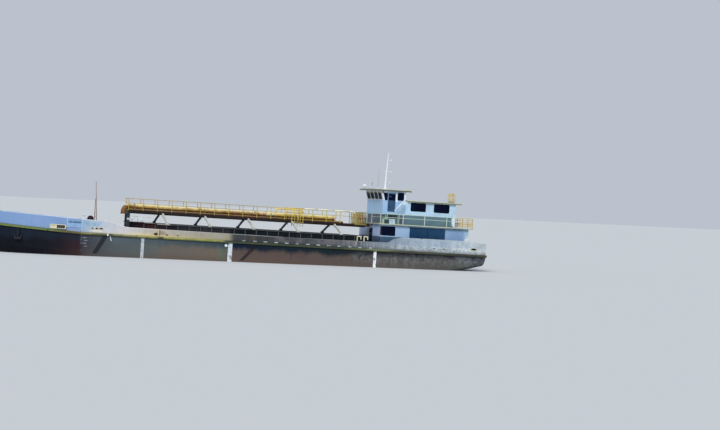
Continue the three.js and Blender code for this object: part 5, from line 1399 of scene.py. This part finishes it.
newPiece("aft_ladder_rails", aftLadder, "rails", ladderLook)
x, y0, y1, foot, top = sizes(ladderLook, "x y0 y1 foot top")
repeated("aft_ladder_rungs", [[(x, y0, foot + 0.3), (x, y0, top - 0.2)]], aftRung, rungLook["pitch"], "rails",
         dict(wide=y1 - y0, radius=rungLook["radius"]))


def stepsRail(bm, side, y, low, high, radius):
    (x0, z0), (x1, z1), y = low, high, side * y
    tube(bm, [(x0 - 0.04, y, z0 - 0.08), (x0, y, z0), (x1, y, z1), (x1 + 0.1, y - side * 0.03, z1 + 0.02)],
         radius, 12)


onBothSides("steps_handrail_*", stepsRail, "white", handrailLook, smooth=True)

mastLook = dict(foot=(13.42, 7.83), head=(13.56, 11.45))
mastLampLook = dict(arms=[(10.68, 0.4), (9.54, 0.45), (8.5, 0.45)], radius=0.082, high=0.12)
mastStepLook = dict(low=8.2, top=10.5, pitch=0.34, inner=0.06, outer=0.24, radius=0.014)


def mastAt(z):
    (x0, z0), (x1, z1) = mastLook["foot"], mastLook["head"]
    return x0 + (x1 - x0) * (z - z0) / (z1 - z0)


def lampCase(bm, side, x, y, z, radius, high):
    place, end = (x, side * y, 0), high / 2
    turned(bm, [(radius, z - end - 0.03), (radius * 1.1, z - end)], place, around=16)
    turned(bm, [(radius * 1.15, z + end), (radius * 0.7, z + end + 0.05), (0.01, z + end + 0.06)], place,
           around=16)


def lampLens(bm, side, x, y, z, radius, high):
    rows = [(radius * (1.0 + 0.08 * math.sin(math.pi * i / 8)), z - high / 2 + high * i / 8)
            for i in range(9)]
    turned(bm, rows, (x, side * y, 0), around=16)


def mastLamps(bm, arms, radius, high):
    for z, reach in arms:
        lampLens(bm, 1, mastAt(z) + reach, 0, z, radius, high)


def mastSteps(bm, low, top, pitch, inner, outer, radius):
    z, side = low, 1
    while z < top:
        x = mastAt(z)
        tube(bm, [(x, side * inner, z), (x, side * outer, z), (x, side * outer, z + 0.05)], radius, 6)
        z += pitch
        side = -side


newPiece("mast_lenses", mastLamps, "clearLens", mastLampLook)
newPiece("mast_steps", mastSteps, "white", mastStepLook)

sideLightLook = dict(x=12.4, y=3.05, z=7.5, radius=0.05, high=0.1)
onBothSides("side_light_case_*", lampCase, "black", sideLightLook)
for (side, sideName), lens in zip(sides, ("redLens", "greenLens")):
    newPiece(f"side_light_lens_{sideName}", lampLens, lens, dict(sideLightLook, side=side))

hoopLook = dict(places=(19.42, 19.73), y0=-2.75, y1=-2.15, foot=6.83, top=7.68, bend=0.18, radius=0.028)
wireLook = dict(bow=20.05, aft=21.36, half=4.1, heights=(4.62, 4.78, 4.92, 5.22), radius=0.022)
cornerLook = dict(y=-3.2, thick=0.1, plates=(
    [(14.7, 7.71), (15.1, 7.69), (15.34, 7.52), (15.36, 7.56), (15.14, 7.77), (14.7, 7.77)],
    [(14.7, 7.78), (15.1, 7.8), (15.6, 7.92), (15.61, 7.95), (15.12, 7.85), (14.7, 7.81)]))
hornLook = dict(x=14.1, y=1.5, z=7.92, long=0.42, feet=(0.08, 0.3))


def hoopBars(bm, places, y0, y1, foot, top, bend, radius):
    for x in places:
        half = [(y0, foot), (y0, top - bend), (y0 + bend * 0.4, top - bend * 0.3), (y0 + bend, top)]
        other = [(y1 - bend, top), (y1 - bend * 0.4, top - bend * 0.3), (y1, top - bend), (y1, foot)]
        tube(bm, [(x, y, z) for y, z in half + other], radius)


def sternWires(bm, bow, aft, half, heights, radius):
    for z in heights:
        tube(bm, [(bow, -half, z), (aft, -half, z), (aft, half, z), (bow, half, z)], radius, 6)


def roofCorner(bm, y, thick, plates):
    for outline in plates:
        slab(bm, outline, thick, (0, y, 0), *alongside(1))


def horn(bm, x, y, z, long, feet):
    trumpet = [(0.03, 0), (0.045, 0.05), (0.03, 0.1), (0.028, long * 0.6), (0.05, long * 0.85),
               (0.085, long), (0.08, long), (0.04, long * 0.86), (0.01, long * 0.8)]
    turned(bm, trumpet, (x, y, z), (-1, 0, 0), 20)
    for reach in feet:
        bar(bm, (x - reach, y, z - 0.2), (x - reach, y, z), 0.018)


newPiece("hoop_bars", hoopBars, "hoops", hoopLook, smooth=True)
newPiece("stern_rail_wires", sternWires, "hoops", wireLook, smooth=True)
newPiece("bent_roof_corner", roofCorner, "cream", cornerLook)
newPiece("horn", horn, "white", hornLook, smooth=True)

lightLook = dict(x=11.97, y=2.6, z=8.04, radius=0.2)


def searchlightGlass(bm, x, y, z, radius):
    turned(bm, [(radius * 0.9, 0.16), (radius * 0.88, 0.166), (radius * 0.6, 0.178), (0.01, 0.184)],
           (x, y, z), (-1, 0, 0), 24)


def searchlightYoke(bm, x, y, z, radius):
    reach = radius + 0.03
    path = [(x, y - reach, z)]
    for i in range(9):
        angle = math.radians(180 + 180 * i / 8)
        path.append((x, y + reach * math.cos(angle), z + 0.19 * math.sin(angle)))
    tube(bm, path + [(x, y + reach, z)], 0.018)
    for side in (-1, 1):
        bar(bm, (x, y + side * (radius - 0.01), z), (x, y + side * (reach + 0.03), z), 0.035, 12)
    bezel = [(radius + 0.008, 0.13), (radius + 0.014, 0.15), (radius + 0.008, 0.165), (radius * 0.9, 0.166),
             (radius * 0.88, 0.13)]
    fins = [[(radius + 0.006, -0.06 - 0.03 * i), (radius + 0.006, -0.072 - 0.03 * i)] for i in range(3)]
    for profile in (bezel, *fins):
        turned(bm, profile, (x, y, z), (-1, 0, 0), 24)


newPiece("searchlight_glass", searchlightGlass, "clearLens", lightLook, "searchlight")
newPiece("searchlight_yoke", searchlightYoke, "white", lightLook, "searchlight")
print("upper works dressed")


# Wheelhouse front: tan sun strips and wipers

stripLook = dict(low=0.7, side=0.02, top=0.02, thick=0.004, back=0.006)
wiperLook = dict(origin=(12.5, 0, 6.72), places=(-2.1, -0.7, 0.7, 2.1), arm=0.011, blade=0.014, out=0.03)


def sunStrips(bm, low, side, top, thick, back):
    for (y0, y1, _, b1), origin, facing in windowSets["wheelhouseFront"]:
        slab(bm, roundedBox(y0 + side, y1 - side, low, b1 - top, 0.03), thick,
             Vector(origin) - facing[2] * back, *facing)


def wipers(bm, origin, places, arm, blade, out):
    origin = Vector(origin)
    for y in places:
        foot = origin + lean * 0.86 + Vector((0, y, 0)) + leanOut * out
        tip = origin + lean * 0.3 + Vector((0, y + 0.28, 0)) + leanOut * out
        bar(bm, foot - leanOut * 0.03, foot + leanOut * 0.02, 0.03, 12)
        bar(bm, foot, tip, arm, 6)
        along = (foot - tip).normalized()
        bar(bm, tip - along * 0.16, tip + along * 0.2, blade, 6)


newPiece("sun_strips", sunStrips, "tan", stripLook)
newPiece("wipers", wipers, "rubber", wiperLook)


# Helm: dials, levers and switches on the desk, grips on the wheel

deskLook = dict(bow=12.7, top=6.72, slope=-0.25)
deskAft, deskUp = Vector((0.97, 0, -0.2425)), Vector((0.2425, 0, 0.9701))
dialLook = dict(x=12.82, places=(-0.62, -0.42, -0.22, 0.22, 0.42, 0.62), compassX=12.84)
leverLook = dict(x=12.98, places=(0.3, 0.36, -0.3, -0.36), plates=(-0.33, 0.33), radius=0.01)
gripLook = dict(centre=(13.22, 0, 6.5), radius=0.36, grip=0.1, count=6)


def onDesk(x, y):
    return Vector((x, y, deskLook["top"] + (x - deskLook["bow"]) * deskLook["slope"]))


def dials(bm, x, places, compassX):
    for y in places:
        turned(bm, [(0.075, -0.01), (0.075, 0.02), (0.068, 0.028), (0.06, 0.02), (0.01, 0.018)], onDesk(x, y),
               deskUp, 20)
    turned(bm, [(0.13, -0.01), (0.13, 0.06), (0.1, 0.1), (0.06, 0.15), (0.01, 0.16)], onDesk(compassX, 0),
           deskUp, 24)


def levers(bm, x, places, plates, radius):
    for y in places:
        foot = onDesk(x, y)
        bar(bm, foot, foot + Vector((0.03, 0, 0.16)), radius, 8)
        turned(bm, [(0.01, 0), (0.024, 0.015), (0.026, 0.04), (0.012, 0.06)], foot + Vector((0.03, 0, 0.14)),
               around=14)
    for y in plates:
        slab(bm, roundedBox(-0.07, 0.07, -0.08, 0.08, 0.03), 0.02, onDesk(x, y), deskAft, (0, 1, 0), deskUp)


def toggle(bm):
    bar(bm, (0, 0, -0.01), (0, 0, 0.012), 0.014, 12)
    bar(bm, (0, 0, 0), (0.012, 0, 0.034), 0.005, 6)


def wheelGrips(bm, centre, radius, grip, count):
    centre = Vector(centre)
    for i in range(count):
        angle = math.radians(360 / count * i)
        out = Vector((0, math.cos(angle), math.sin(angle)))
        turned(bm, [(0.012, 0), (0.02, grip * 0.4), (0.022, grip * 0.75), (0.01, grip)],
               centre + out * (radius + 0.01), out, 12)
    turned(bm, [(0.07, -0.025), (0.07, 0.01), (0.045, 0.03), (0.01, 0.036)], centre, (1, 0, 0), 20)


newPiece("helm_dials", dials, "machine", dialLook)
newPiece("helm_levers", levers, "black", leverLook, smooth=True)
toggleRows = [[onDesk(13.04, y) for y in row] for row in ((-0.8, -0.46), (0.46, 0.8))]
repeated("helm_toggles", toggleRows, toggle, 0.055, "bolts")
newPiece("helm_grips", wheelGrips, "wood", gripLook, "helm_wheel", smooth=True)


# Helm chair: a metal frame, and pads with a crown

frameLook = dict(x=13.95, floor=5.58, legs=5, reach=0.22, pipe=0.014, plate=(13.76, 14.12, -0.2, 0.2),
                 plateZ=6.045)
seatLook = dict(box=(13.7, 14.16, -0.25, 0.25), z=6.06, thick=0.12)
backLook = dict(box=(-0.23, 0.23, 6.2, 6.78), x=14.21, thick=0.08)
armLook = dict(x0=13.84, x1=14.12, y=0.26, half=0.03, z=6.315, thick=0.035, crown=0.008)


def chairFrame(bm, x, floor, legs, reach, pipe, plate, plateZ):
    for i in range(legs):
        angle = math.radians(360 / legs * i)
        tip = (x + reach * math.cos(angle), reach * math.sin(angle), floor + 0.02)
        bar(bm, (x, 0, floor + 0.06), tip, 0.022, 8, 0.016)
    turned(bm, [(0.05, 0.03), (0.05, 0.2), (0.032, 0.22), (0.032, 0.44), (0.12, 0.455), (0.12, 0.47)],
           (x, 0, floor))
    slab(bm, roundedBox(*plate, 0.05), 0.02, (0, 0, plateZ), *flat)
    for side in (-1, 1):
        for path in (
                [(14.0, 0.12, 6.05), (14.16, 0.12, 6.05), (14.2, 0.12, 6.12), (14.215, 0.12, 6.6)],
                [(14.12, 0.2, 6.05), (14.14, 0.26, 6.06), (14.12, 0.26, 6.3), (13.86, 0.26, 6.32),
                 (13.82, 0.26, 6.28)]):
            tube(bm, [(x, side * y, z) for x, y, z in path], pipe)


def crowned(bm, box, thick, origin, across, upward, outward, crown=0.025, steps=8):
    # a pad that bulges towards its middle, with a rounded edge
    a0, a1, b0, b1 = box
    layers = []
    for face in (0, 1):
        rows = []
        for i in range(steps + 1):
            row = []
            for k in range(steps + 1):
                a, b = a0 + (a1 - a0) * i / steps, b0 + (b1 - b0) * k / steps
                u, v = 2 * i / steps - 1, 2 * k / steps - 1
                bulge = crown * (1 - u * u) * (1 - v * v)
                edge = max(abs(u), abs(v)) ** 6 * thick * 0.32
                lift = thick + bulge - edge if face else edge - bulge * 0.3
                row += outlineAt(bm, [(a, b)], lift, origin, across, upward, outward)
            rows.append(row)
        layers.append(rows)
    for rows, flip in ((layers[0], True), (layers[1], False)):
        for i in range(steps):
            for k in range(steps):
                quad = [rows[i][k], rows[i + 1][k], rows[i + 1][k + 1], rows[i][k + 1]]
                bm.faces.new(list(reversed(quad)) if flip else quad)
    rim = [(i, 0) for i in range(steps)] + [(steps, k) for k in range(steps)]
    rim += [(i, steps) for i in range(steps, 0, -1)] + [(0, k) for k in range(steps, 0, -1)]
    bridge(bm, [[rows[i][k] for i, k in rim] for rows in layers])


def chairPads(bm):
    crowned(bm, seatLook["box"], seatLook["thick"], (0, 0, seatLook["z"]), *flat)
    crowned(bm, backLook["box"], backLook["thick"], (backLook["x"], 0, 0), *athwart(-1))


def armPads(bm, x0, x1, y, half, z, thick, crown):
    for side in (-1, 1):
        crowned(bm, (x0, x1, side * y - half, side * y + half), thick, (0, 0, z), *flat, crown)


chairMetal = newPiece("helm_chair_frame", chairFrame, "machine", frameLook)
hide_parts("helm_chair")
for padName, padBuild, padLook in (
        ("helm_chair_pads", chairPads, {}), ("helm_chair_arm_pads", armPads, armLook)):
    pad = newPiece(padName, padBuild, "vinyl", padLook, smooth=True)
    roundness = pad.modifiers.new("roundPad", "SUBSURF")
    roundness.levels = roundness.render_levels = 2
print("helm dressed")


# Engines: rocker covers, exhausts, filters and pipes on the plain blocks

engineLook = dict(bow=13.8, aft=16.3, middle=1.4, top=1.5, covers=6, margin=0.2)
bow, aft, middle, top, covers, margin = sizes(engineLook, "bow aft middle top covers margin")
pitch = (aft - bow - 2 * margin) / covers
cylinders = [bow + margin + pitch * (i + 0.5) for i in range(covers)]


def rockerCovers(bm, side):
    y = side * middle
    for x in cylinders:
        box = (x - pitch * 0.42, x + pitch * 0.42, y - 0.2, y + 0.2)
        slab(bm, roundedBox(*box, 0.06), 0.16, (0, 0, top - 0.01), *flat)
        for bolt in (x - 0.1, x + 0.1):
            bar(bm, (bolt, y, top + 0.14), (bolt, y, top + 0.18), 0.02, 6)


def exhaust(bm, side):
    y, z = side * middle + side * 0.34, top + 0.1
    path = [(bow + 0.3, y, z), (aft - 0.5, y, z), (aft - 0.25, y, z + 0.25), (aft - 0.25, y, z + 0.9)]
    tube(bm, path, 0.09, 14)
    for x in cylinders:
        bar(bm, (x, side * middle + side * 0.15, z), (x, y, z), 0.05, 10)
    flange = [(0.1, 0), (0.19, 0.04), (0.22, 0.12), (0.19, 0.2), (0.1, 0.24)]
    turned(bm, flange, (aft - 0.42, y, z), (1, 0, 0), 24)


def enginePipes(bm, side):
    y = side * middle - side * 0.36
    for k in range(3):
        z, turn, end = top + 0.04 + 0.06 * k, aft - 0.2 - 0.1 * k, aft - 0.1 - 0.1 * k
        tube(bm, [(bow + 0.2, y, z), (turn, y, z), (end, y, z - 0.1), (end, y, 1.2)], 0.018)
    for k in range(2):
        turned(bm, [(0.08, 0), (0.1, 0.02), (0.1, 0.26), (0.08, 0.3)],
               (bow + 0.5 + 0.3 * k, side * middle - side * 0.56, 1.0), around=18)


def flywheel(bm, side):
    y = side * middle
    turned(bm, [(0.34, 0), (0.38, 0.02), (0.38, 0.12), (0.3, 0.14), (0.12, 0.15), (0.12, 0.22)],
           (aft, y, 0.85), (1, 0, 0), 32)
    turned(bm, [(0.14, 0), (0.2, 0.02), (0.2, 0.09), (0.08, 0.12)], (bow, y, 0.7), (-1, 0, 0), 24)
    turned(bm, [(0.08, 0), (0.12, 0.02), (0.12, 0.09), (0.05, 0.12)], (bow, y, 1.15), (-1, 0, 0), 24)


onBothSides("rocker_covers_*", rockerCovers, "greyBlue", soften=0.01)
onBothSides("exhaust_*", exhaust, "rustySteel", smooth=True)
onBothSides("engine_pipes_*", enginePipes, "bronze", smooth=True)
onBothSides("flywheel_*", flywheel, "machine")
print("engines dressed")


# Stage: floor at the waterline, which slopes a little along the vessel, and soft light

stageLook = dict(reach=900.0, slope=0.0148, floor=(206, 208, 208), sky=(206, 214, 226), skyStrength=0.8,
                 sun=2.2, sunSpread=22.0, sunFrom=(-0.4, -0.72, 0.62))


def makeStage(reach, slope, floor, sky, skyStrength, sun, sunSpread, sunFrom):
    mesh = bpy.data.meshes.new("floor")
    square = ((-reach, -reach), (reach, -reach), (reach, reach), (-reach, reach))
    corners = [(x, y, x * slope) for x, y in square]
    mesh.from_pydata(corners, [], [(0, 1, 2, 3)])
    f = Finish("paleFloor")
    f.give("Base Color", tone(*floor))
    f.give("Roughness", 0.8)
    mesh.materials.append(f.material)
    put("floor", mesh)
    world = bpy.data.worlds.new("paleSky")
    bpy.context.scene.world = world
    world.use_nodes = True
    background = world.node_tree.nodes["Background"]
    background.inputs[0].default_value = tone(*sky)
    background.inputs[1].default_value = skyStrength
    sunData = bpy.data.lights.new("softSun", "SUN")
    sunData.energy = sun
    sunData.angle = math.radians(sunSpread)
    put("softSun", sunData).rotation_euler = Vector(sunFrom).to_track_quat("Z", "Y").to_euler()
    bpy.context.scene.view_settings.view_transform = "Standard"


makeStage(**stageLook)
print("stage made")
